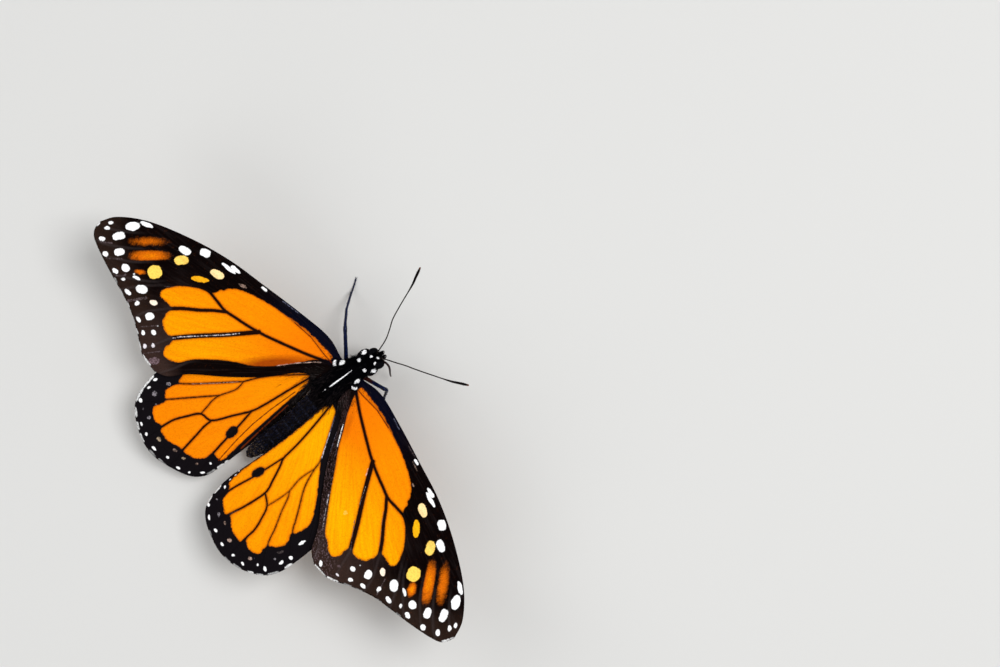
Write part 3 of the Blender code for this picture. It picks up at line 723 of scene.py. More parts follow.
def mix(tree, share, a, b):
    """Two colours mixed by a share."""
    return node(tree, "ShaderNodeMix", {0: share, 6: a, 7: b}, data_type="RGBA").outputs[2]


def sums(tree, kind, a, b=0.0, c=0.0):
    """A calculation with one to three values."""
    return node(tree, "ShaderNodeMath", {0: a, 1: b, 2: c}, operation=kind).outputs[0]


def fade(tree, value, low, high, to_low=0.0, to_high=1.0):
    """A smooth step of a value from low to high."""
    return node(tree, "ShaderNodeMapRange",
                {"Value": value, "From Min": low, "From Max": high, "To Min": to_low,
                 "To Max": to_high}, interpolation_type="SMOOTHSTEP").outputs["Result"]


def stored(tree, name, output="Fac"):
    """A marking that is stored on a piece's points."""
    return node(tree, "ShaderNodeAttribute", attribute_name=name).outputs[output]


def new_group(name, inputs, outputs):
    """A shader group with named inputs, each with its default, and named outputs."""
    group = bpy.data.node_groups.new(name, "ShaderNodeTree")
    for label, kind, value in inputs:
        socket = group.interface.new_socket(label, in_out="INPUT", socket_type="NodeSocket" + kind)
        if value is not None:
            socket.default_value = value
    for label, kind in outputs:
        group.interface.new_socket(label, in_out="OUTPUT", socket_type="NodeSocket" + kind)
    given, put = group.nodes.new("NodeGroupInput"), group.nodes.new("NodeGroupOutput")
    return group, given.outputs, put.inputs


def scale_rows():
    """Rows of tiny overlapping scales: a tone and a height, and a ragged edge for the markings."""
    found = bpy.data.node_groups.get("Scale rows")
    if found:
        return found
    group, given, put = new_group(
        "Scale rows", [("Map", "Vector", None), ("Rows", "Float", 1.0)],
        [("Tone", "Float"), ("Height", "Float"), ("Ragged", "Float"), ("Streak", "Float")])
    spread = node(group, "ShaderNodeMapping", {"Vector": given["Map"],
                                               "Scale": (250.0, 460.0, 1.0)})
    sized = node(group, "ShaderNodeVectorMath", {0: spread.outputs[0]}, operation="SCALE")
    group.links.new(given["Rows"], sized.inputs["Scale"])
    cells = node(group, "ShaderNodeTexVoronoi", {"Vector": sized.outputs[0], "Scale": 1.0,
                                                 "Randomness": 0.7}, voronoi_dimensions="2D")
    tone = node(group, "ShaderNodeSeparateColor", {"Color": cells.outputs["Color"]}).outputs[0]
    group.links.new(tone, put["Tone"])
    slope = sums(group, "SUBTRACT", 1.0, cells.outputs["Distance"])
    group.links.new(slope, put["Height"])
    ragged, broad = [node(group, "ShaderNodeTexNoise",
                          {"Vector": given["Map"], "Scale": scale, "Detail": detail},
                          noise_dimensions="2D") for scale, detail in ((260.0, 2.0), (75.0, 1.0))]
    mixed = sums(group, "MULTIPLY_ADD", broad.outputs[0], 0.9, ragged.outputs[0])
    mixed = sums(group, "MULTIPLY_ADD", tone, 0.3, mixed)
    group.links.new(sums(group, "SUBTRACT", mixed, 1.1), put["Ragged"])
    long = node(group, "ShaderNodeMapping", {"Vector": given["Map"], "Scale": (3.0, 60.0, 1.0)})
    streak = node(group, "ShaderNodeTexNoise", {"Vector": long.outputs[0], "Scale": 2.2,
                                                "Detail": 3.0, "Roughness": 0.6},
                  noise_dimensions="2D")
    group.links.new(streak.outputs[0], put["Streak"])
    return group


def new_material(name, **settings):
    """A material with its Principled shader's constants set on its own sockets."""
    material = bpy.data.materials.new(name)
    material.use_nodes = True
    tree = material.node_tree
    shader = tree.nodes["Principled BSDF"]
    for label, value in settings.items():
        shader.inputs[label.replace("_", " ")].default_value = value
    return material, tree, shader


def feed(tree, shader, **sockets):
    """Join other nodes' sockets to a shader's inputs."""
    for label, socket in sockets.items():
        tree.links.new(socket, shader.inputs[label.replace("_", " ")])


def bumps(tree, height, strength, distance, **settings):
    """A bumped surface's normal for a height."""
    return node(tree, "ShaderNodeBump", {"Strength": strength, "Distance": distance,
                                         "Height": height}, **settings).outputs[0]


def wing_material(kind, under):
    """The scales of one face of a wing."""
    name = f"{kind}wing_{'under' if under else 'upper'}_scales"
    found = bpy.data.materials.get(name)
    if found:
        return found
    material, tree, shader = new_material(name, Specular_IOR_Level=0.005)
    lie = node(tree, "ShaderNodeUVMap", uv_map="lie").outputs[0]
    rows = node(tree, "ShaderNodeGroup", node_tree=scale_rows())
    tree.links.new(lie, rows.inputs["Map"])
    tone, ragged, streak = rows.outputs["Tone"], rows.outputs["Ragged"], rows.outputs["Streak"]
    cell = stored(tree, "under_cell" if under and kind == "hind" else "cell")
    vein, rim = stored(tree, "vein"), stored(tree, "rim")
    reach, spot = stored(tree, "reach"), stored(tree, "spot")
    rough = fade(tree, stored(tree, "vein_edge"), 0.1, 0.8, 0.08, 0.28)
    is_cell = fade(tree, sums(tree, "MULTIPLY_ADD", ragged, rough, cell), -0.10, 0.14)
    is_spot = fade(tree, sums(tree, "MULTIPLY_ADD", ragged, 0.12, spot), -0.01, 0.15)
    dots = sums(tree, "MULTIPLY", stored(tree, "dotted"), fade(tree, ragged, 0.12, -0.12))
    is_spot = sums(tree, "MULTIPLY_ADD", sums(tree, "MULTIPLY", is_spot, dots), -0.75, is_spot)

    if under and kind == "hind":
        warm = mix(tree, fade(tree, reach, 0.0, 14.0), paint("under_buff"), paint("under_pale"))
    elif under:
        warm = mix(tree, fade(tree, reach, 4.0, 22.0), paint("under_orange"), paint("orange_pale"))
    elif kind == "fore":
        # The orange is painted deeper toward the root: painted shade where the wing curves near its
        # root
        warm = mix(tree, fade(tree, reach, 1.0, 17.0), paint("orange_deep"), paint("orange"))
        warm = mix(tree, stored(tree, "rearward"), warm, paint("orange_pale"))
    else:
        warm = mix(tree, stored(tree, "rearward"), paint("orange_pale"), paint("orange"))
        warm = mix(tree, stored(tree, "warmth"), warm, paint("orange_deep"))
    warm = mix(tree, fade(tree, streak, 0.35, 0.75, 0.0, 0.4), warm, paint("orange_deep"))
    warm = mix(tree, fade(tree, cell, 0.8, 0.0, 0.0, 0.4), warm, paint("orange_deep"))
    warm = mix(tree, fade(tree, cell, 0.4, 0.05, 0.0, 0.4), warm, paint("dusky_orange"))

    if kind == "fore":
        # Painted shade over the orange near the root
        warm = mix(tree, stored(tree, "dusky_orange"), warm, paint("dusky_orange"))
        dark = mix(tree, fade(tree, rim, 6.5, 1.5), paint("apex"), paint("border"))
        dark = mix(tree, fade(tree, reach, 32.0, 22.0, 0.0, 0.35), dark, paint("tornus"))
        dark = mix(tree, fade(tree, rim, 7.0, 16.0), dark, paint("apex"))
        # In front near the root, the black is painted with a blue sheen
        front = sums(tree, "MULTIPLY", fade(tree, reach, 20.0, 6.0, 0.0, 0.9), stored(tree, "lead"))
        dark = mix(tree, front, dark, paint("costa_blue_sheen"))
        for low, high, most, name in ((0.2, 0.9, 1.3, "border"), (0.7, 1.0, 0.55, "mauve")):
            specks = sums(tree, "MULTIPLY", stored(tree, "brown"),
                          fade(tree, tone, low, high, 0.0, most))
            dark = mix(tree, specks, dark, paint(name))
        dark = mix(tree, stored(tree, "black"), dark, paint("apex"))
        # Grey along the veins near the outer edge: painted sheen on the raised veins, with faint
        # random grey streaks
        vein_sheen = sums(tree, "MULTIPLY", fade(tree, vein, 0.42, 0.08),
                     fade(tree, rim, 10.0, 5.0, 0.0, 0.28))
        vein_sheen = sums(tree, "MULTIPLY_ADD", fade(tree, streak, 0.45, 0.8), 0.1, vein_sheen)
        dark = mix(tree, vein_sheen, dark, paint("dark_grey"))
    else:
        dark = mix(tree, fade(tree, stored(tree, "fold"), 0.9, 1.2), paint("hind_border"),
                   paint("fold"))
    if under:
        dark = mix(tree, 0.35, dark, paint("tornus"))
    if kind == "fore":
        rust = sums(tree, "MULTIPLY_ADD", ragged, 0.25, stored(tree, "rust"))
        bright = mix(tree, fade(tree, rust, 0.7, 1.4), paint("rust"), paint("orange"))
        dark = mix(tree, fade(tree, rust, 0.05, 0.75), dark, bright)

    dark = mix(tree, fade(tree, stored(tree, "within"), 0.2, 0.9), dark, paint("vein_red"))
    colour = mix(tree, is_cell, dark, warm)
    colour = mix(tree, is_spot, colour, stored(tree, "tint", "Color"))
    shaded = node(tree, "ShaderNodeHueSaturation",
                  {"Color": colour, "Value": fade(tree, tone, 0.0, 1.0, 0.88, 1.08)})
    ridge = node(tree, "ShaderNodeBump",
                 {"Strength": 0.5, "Distance": 0.0002, "Height": fade(tree, vein, 0.45, 0.0),
                  "Normal": bumps(tree, rows.outputs["Height"], 0.35, 0.00004)})
    feed(tree, shader, Base_Color=shaded.outputs[0],
         Roughness=fade(tree, tone, 0.0, 1.0, 0.5, 0.7), Normal=ridge.outputs[0])
    return material


# ---------------------------------------------------------------- body shape

HEAD_AT = (-1.2, 6.1, 8.7)
HEAD_TURN = -12.0
EYE_AT = (1.25, 0.1, 0.1)
EYE_HALF = (0.83, 1.08, 1.28)
PALP_AT = (0.42, 1.5, -0.45)
PALP_HALF = (0.28, 0.3, 0.86)
PALP_LEAN = 28.0
# Rings of the skin from tail to neck: (ahead, left, up, half width, half height)
SKIN = [
    (-25.1, 0.55, 4.1, 0.02, 0.02), (-25.0, 0.55, 4.1, 0.34, 0.34), (-24.4, 0.55, 4.2, 0.84, 0.78),
    (-23.2, 0.5, 4.5, 1.24, 1.14), (-21.0, 0.32, 4.9, 1.64, 1.44), (-18.5, 0.04, 5.3, 1.70, 1.60),
    (-15.5, -0.18, 5.7, 1.68, 1.70), (-12.5, -0.10, 6.0, 1.76, 1.74),
    (-10.0, 0.02, 6.2, 1.86, 1.72), (-8.1, 0.10, 6.4, 1.72, 1.54),
    (-7.1, 0.0, 6.6, 1.10, 1.12), (-6.5, 0.0, 6.95, 1.05, 1.10),
    (-5.6, 0.0, 7.4, 1.78, 1.88), (-4.2, 0.0, 7.8, 2.34, 2.48), (-2.2, 0.0, 8.0, 2.68, 2.82),
    (-0.3, 0.0, 8.1, 2.68, 2.74), (1.2, -0.1, 8.2, 2.48, 2.44), (2.3, -0.25, 8.3, 2.10, 2.00),
    (3.2, -0.45, 8.4, 1.78, 1.62), (3.9, -0.68, 8.45, 1.46, 1.32), (4.4, -0.8, 8.5, 1.15, 1.05)]
# Rings of the head along its own axis: (ahead of its middle, half width, half height)
HEAD = [(-1.25, 1.40, 1.05), (-1.05, 1.75, 1.22), (-0.7, 1.85, 1.40), (0.0, 1.50, 1.45),
        (0.6, 1.22, 1.22), (0.95, 0.82, 0.88), (1.10, 0.38, 0.42), (1.15, 0.02, 0.02)]
RING_LINES = (-8.3, -10.3, -12.4, -14.6, -16.8, -18.9, -20.9, -22.7, -24.2)
# Lobes that stand out of the skin: (left, ahead, up, radius, height)
LOBES = [(2.3, 0.9, 9.7, 0.9, 0.45), (-2.5, 0.9, 9.7, 0.9, 0.45), (2.8, -0.2, 9.6, 0.8, 0.70),
         (-2.95, -0.2, 9.6, 0.8, 0.70), (0.42, 3.75, 9.7, 0.55, 0.25),
         (-1.68, 3.4, 9.6, 0.55, 0.25), (0.98, 5.4, 9.1, 0.55, 0.38), (-2.75, 4.6, 9.1, 0.6, 0.45),
         (0.1, -4.6, 10.1, 1.1, 0.28), (2.6, -3.4, 9.0, 1.0, 0.15), (-2.6, -3.4, 9.0, 1.0, 0.15)]
# White spots seen from above: (left, ahead, length, width, tilt from straight left)
BODY_SPOTS = [
    (2.12, 1.0, 1.25, 1.2, 90), (-2.41, 0.93, 1.3, 0.85, 80), (0.42, 3.75, 0.95, 0.8, 20),
    (-1.68, 3.37, 0.87, 0.75, 0), (-0.58, 5.97, 0.66, 0.6, 0), (-1.95, 5.69, 0.66, 0.65, 0),
    (-1.51, 6.73, 0.78, 0.45, -10), (-0.40, 6.83, 0.36, 0.34, 0), (0.98, 5.37, 1.15, 0.95, 80),
    (-2.80, 4.58, 1.15, 0.9, 100), (0.28, 0.38, 0.36, 0.3, 0), (0.18, -4.61, 0.46, 0.42, 0),
    (0.2, -5.25, 0.36, 0.3, 0)]
# White crescents behind the shoulders, each with the oval that hollows it
CRESCENTS = [((2.80, 0.0, 1.15, 0.9, 38), (2.52, 0.40, 0.85, 0.75, 38)),
             ((-3.02, -0.1, 1.15, 0.75, -27), (-2.80, 0.24, 0.8, 0.65, -27))]
# Small lobes over the skin that carry white scales: (left, ahead, up) and half sizes
COVERS = {"left_shoulder": ((2.75, 0.1, 9.85), (0.8, 0.7, 0.45)),
          "right_shoulder": ((-2.95, 0.0, 9.85), (0.8, 0.7, 0.45)),
          "left_nape": ((0.60, 4.80, 9.05), (1.05, 1.45, 0.6)),
          "right_nape": ((-2.35, 4.30, 9.05), (0.95, 1.35, 0.6))}
# A painted highlight down the middle of the thorax's back, drawn with the white marks: (left,
# ahead) points
MIDLINE_HIGHLIGHT = [(-0.28, 1.60), (-0.18, -1.0), (0.0, -3.70)]
# White spots low on the flanks: (left, ahead, up, radius)
FLANK_SPOTS = [(2.5, 0.4, 7.2, 0.4), (-2.6, 0.4, 7.2, 0.4), (2.6, -1.8, 6.6, 0.4),
               (-2.6, -1.8, 6.6, 0.4), (1.9, -3.6, 5.9, 0.38), (-1.9, -3.6, 5.9, 0.38),
               (1.4, 2.2, 7.1, 0.33), (-1.9, 2.2, 7.1, 0.33), (0.9, 0.6, 5.7, 0.33),
               (-0.9, 0.6, 5.7, 0.33)]

LEGS = {
    "midleg_left": [(1.2, 0.2, 6.2), (2.3, 1.2, 5.6), (6.9, 5.1, 7.6), (7.4, 5.5, 7.5),
                    (9.9, 7.3, 4.9), (12.1, 9.5, 1.3), (12.6, 10.1, 0.4), (13.2, 11.0, 0.2),
                    (13.9, 12.0, 0.2)],
    "midleg_right": [(-1.2, 0.6, 6.2), (-2.5, 2.0, 5.8), (-6.5, 3.7, 7.6), (-6.95, 4.0, 7.4),
                     (-7.3, 2.5, 4.1), (-7.75, 0.9, 1.1), (-7.95, 0.4, 0.4), (-8.4, -0.4, 0.2),
                     (-9.4, -1.8, 0.2)],
    "hindleg_left": [(1.0, -3.4, 6.0), (2.2, -4.4, 5.2), (6.2, -8.2, 6.3), (6.6, -8.7, 6.1),
                     (7.9, -10.9, 3.6), (9.2, -13.0, 1.1), (9.6, -13.7, 0.4), (10.2, -14.9, 0.2),
                     (11.3, -17.6, 0.2)],
    "hindleg_right": [(-1.0, -3.4, 6.0), (-2.2, -4.4, 5.2), (-6.2, -8.2, 6.3), (-6.6, -8.7, 6.1),
                      (-7.9, -10.9, 3.6), (-9.2, -13.0, 1.1), (-9.6, -13.7, 0.4),
                      (-10.2, -14.9, 0.2), (-11.3, -17.6, 0.2)],
}
LEG_WIDTHS = (0.44, 0.40, 0.33, 0.27, 0.23, 0.20, 0.17, 0.16, 0.13)
FORELEGS = {
    "foreleg_left": [(0.7, 1.0, 6.6), (0.9, 2.3, 5.4), (1.0, 4.0, 5.0), (0.8, 5.0, 5.6),
                     (0.6, 5.5, 6.2)],
    "foreleg_right": [(-0.9, 1.0, 6.6), (-1.1, 2.3, 5.4), (-1.4, 4.0, 4.9), (-1.7, 5.0, 5.4),
                      (-1.8, 5.5, 6.0)],
}
FORELEG_WIDTHS = (0.36, 0.33, 0.26, 0.22, 0.18)
FEELERS = {
    "antenna_left": [(-0.75, 6.95, 9.5), (-0.6, 7.5, 10.05), (0.1, 10.0, 10.7), (1.1, 11.9, 11.3),
                     (2.1, 13.6, 11.9), (3.2, 16.6, 12.6), (4.4, 20.2, 13.2), (5.2, 21.9, 13.4),
                     (5.7, 23.0, 13.5), (6.0, 23.6, 13.5)],
    "antenna_right": [(-1.8, 6.75, 9.5), (-2.15, 7.3, 9.95), (-4.4, 8.8, 10.5), (-6.0, 9.9, 11.0),
                      (-7.7, 10.9, 11.4), (-10.4, 12.6, 12.0), (-13.5, 14.6, 12.5),
                      (-14.9, 15.7, 12.7), (-15.8, 16.4, 12.8), (-16.3, 16.8, 12.8)],
}
TONGUE = [(-1.9, 6.7, 6.3), (-2.3, 6.7, 6.75), (-2.95, 6.95, 6.95), (-3.6, 6.95, 6.6),
          (-4.2, 6.6, 5.8), (-4.65, 6.1, 4.7), (-4.92, 5.75, 3.4), (-4.95, 5.6, 2.2)]

# Steps along the skin, from tail to face
SKIN_STEPS = 600
# The share of a limb's surface that each rounded end takes
CAP = 0.02
# Steps along a leg's line, and how many times its bends are softened
LEG_STEPS, LEG_SOFTENING = 260, 26
# Steps along a feeler's line, and its rings
FEELER_STEPS, FEELER_RINGS = 240, 44
# Directions (left, ahead, up) as the model's
TO_WORLD = np.array([1.0, -1.0, 1.0])
# White scales as linear RGBA
WHITE_SCALES = (0.93, 0.93, 0.95, 1)
# The random generators' seeds
SEEDS = {"coat": 7, "head": 11, "legs": 5}


def on_head(left, ahead, up):
    """A place given from the head's middle, along the head's own axes, as a place on the body."""
    turn = math.radians(HEAD_TURN)
    return (HEAD_AT[0] + left * math.cos(turn) + ahead * math.sin(turn),
            HEAD_AT[1] - left * math.sin(turn) + ahead * math.cos(turn), HEAD_AT[2] + up)


def skin_path():
    """Fine rows of the skin's rings: left, ahead, up, half width, half height, turn."""
    rows = [(left, ahead, up, wide, high, 0.0) for ahead, left, up, wide, high in SKIN]
    for ahead, wide, high in HEAD:
        rows.append((*on_head(0.0, ahead, 0.0), wide, high, math.radians(HEAD_TURN)))
    return smooth_line(rows, SKIN_STEPS)


SKIN_PATH = skin_path()


def skin_shape(t, turn):
    """The skin in millimetres at shares t of the way from tail to face, turned round the body."""
    left, ahead, up, wide, high, yaw = read_line(SKIN_PATH, t).T
    out = np.cos(turn)
    p = np.stack([left + wide * out * np.cos(yaw), ahead - wide * out * np.sin(yaw),
                  up + high * np.sin(turn)], 1)
    away = np.stack([out * np.cos(yaw), -out * np.sin(yaw), np.sin(turn)], 1)
    rise = np.zeros(len(t))
    for line in RING_LINES:
        rise -= 0.09 * np.exp(-((ahead - line) / 0.13) ** 2)
        rise += 0.04 * np.exp(-((ahead - line - 0.5) / 0.5) ** 2)
    for x, y, z, radius, height in LOBES:
        gap = np.linalg.norm(p - np.array([x, y, z]), axis=1)
        rise += height * np.exp(-(gap / radius) ** 2)
    on_back = np.clip((p[:, 2] - up) / np.maximum(high, 0.1), 0, 1) * (ahead > -5) * (ahead < 2)
    rise -= 0.07 * on_back * np.exp(-((p[:, 0] - left) / 0.2) ** 2)
    rise *= np.clip(wide / 0.6, 0, 1)
    return p + away * rise[:, None]


def skin_facing(t, turn):
    """Places on the skin with their outward direction and the direction toward the tail."""
    step = 0.002
    p = skin_shape(t, turn)
    ahead = skin_shape(np.clip(t + step, 0, 1), turn) - skin_shape(np.clip(t - step, 0, 1), turn)
    round_body = skin_shape(t, turn + 0.02) - skin_shape(t, turn - 0.02)
    facing = unit(np.cross(ahead, round_body))
    facing[np.sum(facing * (p - read_line(SKIN_PATH[:, :3], t)), 1) < 0] *= -1
    return p, facing, -unit(ahead)


def body_white(p):
    """Distance inside (above 0) or outside a white mark, for places on the body; the painted
    highlight down the thorax counts as one.
    """
    plan = p[:, :2]
    best = np.full(len(p), -9.0)
    for crescent, hollow in CRESCENTS:
        best = np.maximum(best, np.minimum(spot_distance(plan, *crescent),
                                           -spot_distance(plan, *hollow)))
    for spot in BODY_SPOTS:
        best = np.maximum(best, spot_distance(plan, *spot) - 0.09)
    # The painted highlight down the middle of the thorax
    d, along = to_line(plan, np.array(MIDLINE_HIGHLIGHT))
    half = np.interp(along, [0, 0.3, 0.7, 0.9, 1], [0.05, 0.08, 0.16, 0.13, 0.02])
    best = np.maximum(best, half - d)
    low = p[:, 2] < np.interp(p[:, 1], [-25, -8, -4, 2, 7], [4.5, 6.8, 8.6, 8.9, 8.4])
    best[low] = -9.0
    for left, ahead, up, radius in FLANK_SPOTS:
        gap = radius - np.linalg.norm(p - np.array([left, ahead, up]), axis=1)
        best = np.maximum(best, gap)
    return best


def from_ball(name, sides, rings, surface, material):
    """A closed piece drawn out of a ball: surface gives its places for a share of the way from
    one end to the other and a turn round it."""
    deselect()
    bpy.ops.mesh.primitive_uv_sphere_add(segments=sides, ring_count=rings, radius=1.0)
    piece = bpy.context.object
    piece.name = piece.data.name = name
    mesh = piece.data
    start = coords(mesh)
    t = np.arccos(np.clip(-start[:, 2], -1, 1)) / np.pi
    turn = np.arctan2(start[:, 1], start[:, 0])
    places_mm = surface(t, turn)
    set_coords(mesh, places(places_mm))
    face_outward(piece)
    mesh.shade_smooth()
    for old in list(mesh.uv_layers):
        mesh.uv_layers.remove(old)
    mesh.materials.append(material)
    return piece, t, turn, places_mm


def line_frames(line):
    """Two directions across each point of a line, carried along it without twist."""
    run = unit(np.gradient(line, axis=0))
    side = np.cross(run[0], [0.0, 0.0, 1.0])
    if np.linalg.norm(side) < 1e-3:
        side = np.array([1.0, 0.0, 0.0])
    sides = []
    for r in run:
        side = side - r * (side @ r)
        side = side / np.linalg.norm(side)
        sides.append(side)
    sides = np.array(sides)
    return run, sides, np.cross(run, sides)


def past_cap(t):
    """How far along its line a limb's surface is, at shares t of the whole surface."""
    return np.clip((t - CAP) / (1 - 2 * CAP), 0, 1)


def tube_surface(line, widths, sole=None):
    """The surface of a round limb along a line, with its half thickness at even shares."""
    run, side, over = line_frames(line)

    def surface(t, turn):
        share = past_cap(t)
        wide = np.interp(share, np.linspace(0, 1, len(widths)), widths)
        cap = np.clip(np.minimum(t, 1 - t) / CAP, 0, 1)
        wide = wide * np.sqrt(1 - (1 - cap) ** 2)
        p = (read_line(line, share) + (np.cos(turn) * wide)[:, None] * read_line(side, share)
             + (np.sin(turn) * wide)[:, None] * read_line(over, share))
        if sole is not None:
            p[:, 2] = np.maximum(p[:, 2], sole)
        return p

    return surface


def bent_line(points, steps, soften):
    """A line of straight runs with softened bends, and its route points' shares of the way."""
    line, marks = evenly(np.asarray(points, float), steps)
    for _ in range(soften):
        line[1:-1] = 0.25 * line[:-2] + 0.5 * line[1:-1] + 0.25 * line[2:]
    return line, marks


# ---------------------------------------------------------------- body finishes


def skin_material():
    """The black skin under the coat, with its white marks and the painted highlight down the
    thorax.
    """
    material, tree, shader = new_material("body_skin", Roughness=0.5, Specular_IOR_Level=0.03)
    place = node(tree, "ShaderNodeTexCoord").outputs["Object"]
    grain = node(tree, "ShaderNodeTexNoise", {"Vector": place, "Scale": 2600.0, "Detail": 2.0})
    dark = mix(tree, fade(tree, stored(tree, "rear"), 0.0, 1.0), (0.0012, 0.0012, 0.0020, 1.0),
               (0.0035, 0.003, 0.004, 1.0))
    colour = mix(tree, fade(tree, stored(tree, "white"), -0.03, 0.03), dark, paint("white"))
    feed(tree, shader, Base_Color=colour, Normal=bumps(tree, grain.outputs[0], 0.4, 0.00003))
    return material


def hair_material(name, roughness, sheen):
    """Hairs and scales, each with its own stored colour."""
    found = bpy.data.materials.get(name)
    if found:
        return found
    material, tree, shader = new_material(name, Specular_IOR_Level=0.005, Sheen_Weight=sheen,
                                          Sheen_Roughness=0.35,
                                          Sheen_Tint=(0.45, 0.55, 1.0, 1.0))
    place = node(tree, "ShaderNodeTexCoord").outputs["Object"]
    grain = node(tree, "ShaderNodeTexNoise", {"Vector": place, "Scale": 3500.0, "Detail": 1.0})
    shaded = node(tree, "ShaderNodeHueSaturation",
                  {"Color": stored(tree, "tint", "Color"),
                   "Value": fade(tree, grain.outputs[0], 0.3, 0.7, 0.8, 1.1)})
    feed(tree, shader, Base_Color=shaded.outputs[0],
         Roughness=fade(tree, grain.outputs[0], 0.3, 0.7, roughness - 0.1, roughness + 0.1))
    return material


def eye_material():
    """A compound eye: fine facets, near black, its upper half painted with a faint blue sheen."""
    found = bpy.data.materials.get("eye_facets")
    if found:
        return found
    material, tree, shader = new_material("eye_facets", Specular_IOR_Level=0.0, Coat_Weight=0.015,
                                          Coat_Roughness=0.2, Roughness=0.4)
    place = node(tree, "ShaderNodeTexCoord").outputs["Object"]
    facets = node(tree, "ShaderNodeTexVoronoi", {"Vector": place, "Scale": 14000.0,
                                                 "Randomness": 0.15})
    patch = node(tree, "ShaderNodeTexNoise", {"Vector": place, "Scale": 900.0, "Detail": 1.0})
    deep = mix(tree, fade(tree, patch.outputs[0], 0.35, 0.65), (0.0015, 0.001, 0.001, 1.0),
               (0.004, 0.003, 0.003, 1.0))
    # The upper half painted a little bluer: a painted sheen
    rim = fade(tree, stored(tree, "upward"), -0.1, 0.9)
    colour = mix(tree, rim, deep, (0.003, 0.003, 0.004, 1.0))
    feed(tree, shader, Base_Color=colour,
         Normal=bumps(tree, facets.outputs["Distance"], 0.6, 0.00002, invert=True))
    return material


def limb_material():
    """The scaled black legs, with a blue gloss and a pale painted highlight on top of each knee."""
    found = bpy.data.materials.get("limb_scales")
    if found:
        return found
    material, tree, shader = new_material("limb_scales", Specular_IOR_Level=0.1, Coat_Weight=0.12,
                                          Coat_Roughness=0.1)
    lie = node(tree, "ShaderNodeUVMap", uv_map="lie").outputs[0]
    rows = node(tree, "ShaderNodeGroup", node_tree=scale_rows())
    tree.links.new(lie, rows.inputs["Map"])
    blue = mix(tree, fade(tree, rows.outputs["Tone"], 0.2, 1.0), (0.0005, 0.001, 0.006, 1.0),
               (0.003, 0.011, 0.075, 1.0))
    blue = mix(tree, stored(tree, "ruddy"), blue, (0.035, 0.006, 0.004, 1.0))
    # Pale where the knee highlight is painted
    colour = mix(tree, fade(tree, stored(tree, "white"), 0.2, 0.8), blue, paint("mist"))
    feed(tree, shader, Base_Color=colour,
         Roughness=fade(tree, rows.outputs["Tone"], 0.0, 1.0, 0.22, 0.4),
         Normal=bumps(tree, rows.outputs["Height"], 0.5, 0.00003))
    return material


def feeler_material():
    """The feelers: black rings, with pale scales at each joint and a rusty tip."""
    material, tree, shader = new_material("feeler_rings", Specular_IOR_Level=0.05)
    colour = mix(tree, fade(tree, stored(tree, "white"), 0.3, 0.7), (0.003, 0.002, 0.002, 1.0),
                 (0.05, 0.036, 0.03, 1.0))
    colour = mix(tree, fade(tree, stored(tree, "tip"), 0.0, 1.0), colour, (0.12, 0.035, 0.01, 1.0))
    feed(tree, shader, Base_Color=colour,
         Roughness=fade(tree, stored(tree, "white"), 0.0, 1.0, 0.38, 0.65))
    return material


def tongue_material():
    """The horny red-brown tongue, ringed across."""
    material, tree, shader = new_material("tongue_horn", Specular_IOR_Level=0.2, Coat_Weight=0.05)
    ring = stored(tree, "ring")
    colour = mix(tree, ring, (0.008, 0.001, 0.001, 1.0), (0.020, 0.003, 0.003, 1.0))
    feed(tree, shader, Base_Color=colour, Roughness=fade(tree, ring, 0.0, 1.0, 0.3, 0.45))
    return material


# ---------------------------------------------------------------- coat


def make_coat(name, material, parts):
    """A coat piece: thin closed hairs that curve along the lie, joined in one mesh.

    parts hold arrays: root, facing, lie (metres), length, width, lift, tint and flat, which is
    each root's place on the unwrapped skin.
    """
    root, facing, lie, length, width, lift, tint, flat = [np.concatenate(rows)
                                                          for rows in zip(*parts)]
    cross = unit(np.cross(lie, facing))
    corners = [(math.cos(a), math.sin(a)) for a in np.radians([90, 210, 330])]
    points, uvs = [], []
    for k, (x, w) in enumerate(((0.0, 0.75), (0.38, 1.0), (0.75, 0.62))):
        middle = (root + lie * (length * x)[:, None]
                  + facing * (length * lift * (1.35 * x - 0.55 * x * x) - 0.00002)[:, None])
        for j, (c, s) in enumerate(corners):
            points.append(middle + cross * (0.5 * width * w * c)[:, None]
                          + facing * (0.22 * width * w * s)[:, None])
            uvs.append(flat + 0.003 * np.array([0.5 * k - 0.75, 0.5 * j - 0.5]))
    points.append(root + lie * length[:, None] + facing * (length * lift * 0.8)[:, None])
    uvs.append(flat + 0.003 * np.array([0.75, 0.0]))
    per_hair = len(points)
    points = np.stack(points, 1).reshape(-1, 3)
    uvs = np.clip(np.stack(uvs, 1).reshape(-1, 2), 0, 1)
    faces = []
    for k in (0, 3):
        for j in range(3):
            faces.append((k + j, k + (j + 1) % 3, k + 3 + (j + 1) % 3, k + 3 + j))
    tips = [(6 + j, 6 + (j + 1) % 3, 9) for j in range(3)] + [(2, 1, 0)]
    step = np.arange(len(root))[:, None, None] * per_hair
    quads = (np.array(faces)[None] + step).reshape(-1, 4)
    ends = (np.array(tips)[None] + step).reshape(-1, 3)
    mesh = bpy.data.meshes.new(name)
    mesh.from_pydata(points.tolist(), [], quads.tolist() + ends.tolist())
    mesh.shade_smooth()
    give_values(mesh, {}, np.repeat(tint, per_hair, axis=0))
    give_map(mesh, "OFBake", uvs)
    mesh.materials.append(material)
    coat = bpy.data.objects.new(name, mesh)
    bpy.context.scene.collection.objects.link(coat)
    face_outward(coat)
    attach(coat, "root")
    return coat


def shades(rng, count, low, high):
    """Colours spread at random between two, one to a hair."""
    share = rng.random((count, 1))
    return np.array([low]) * (1 - share) + np.array([high]) * share


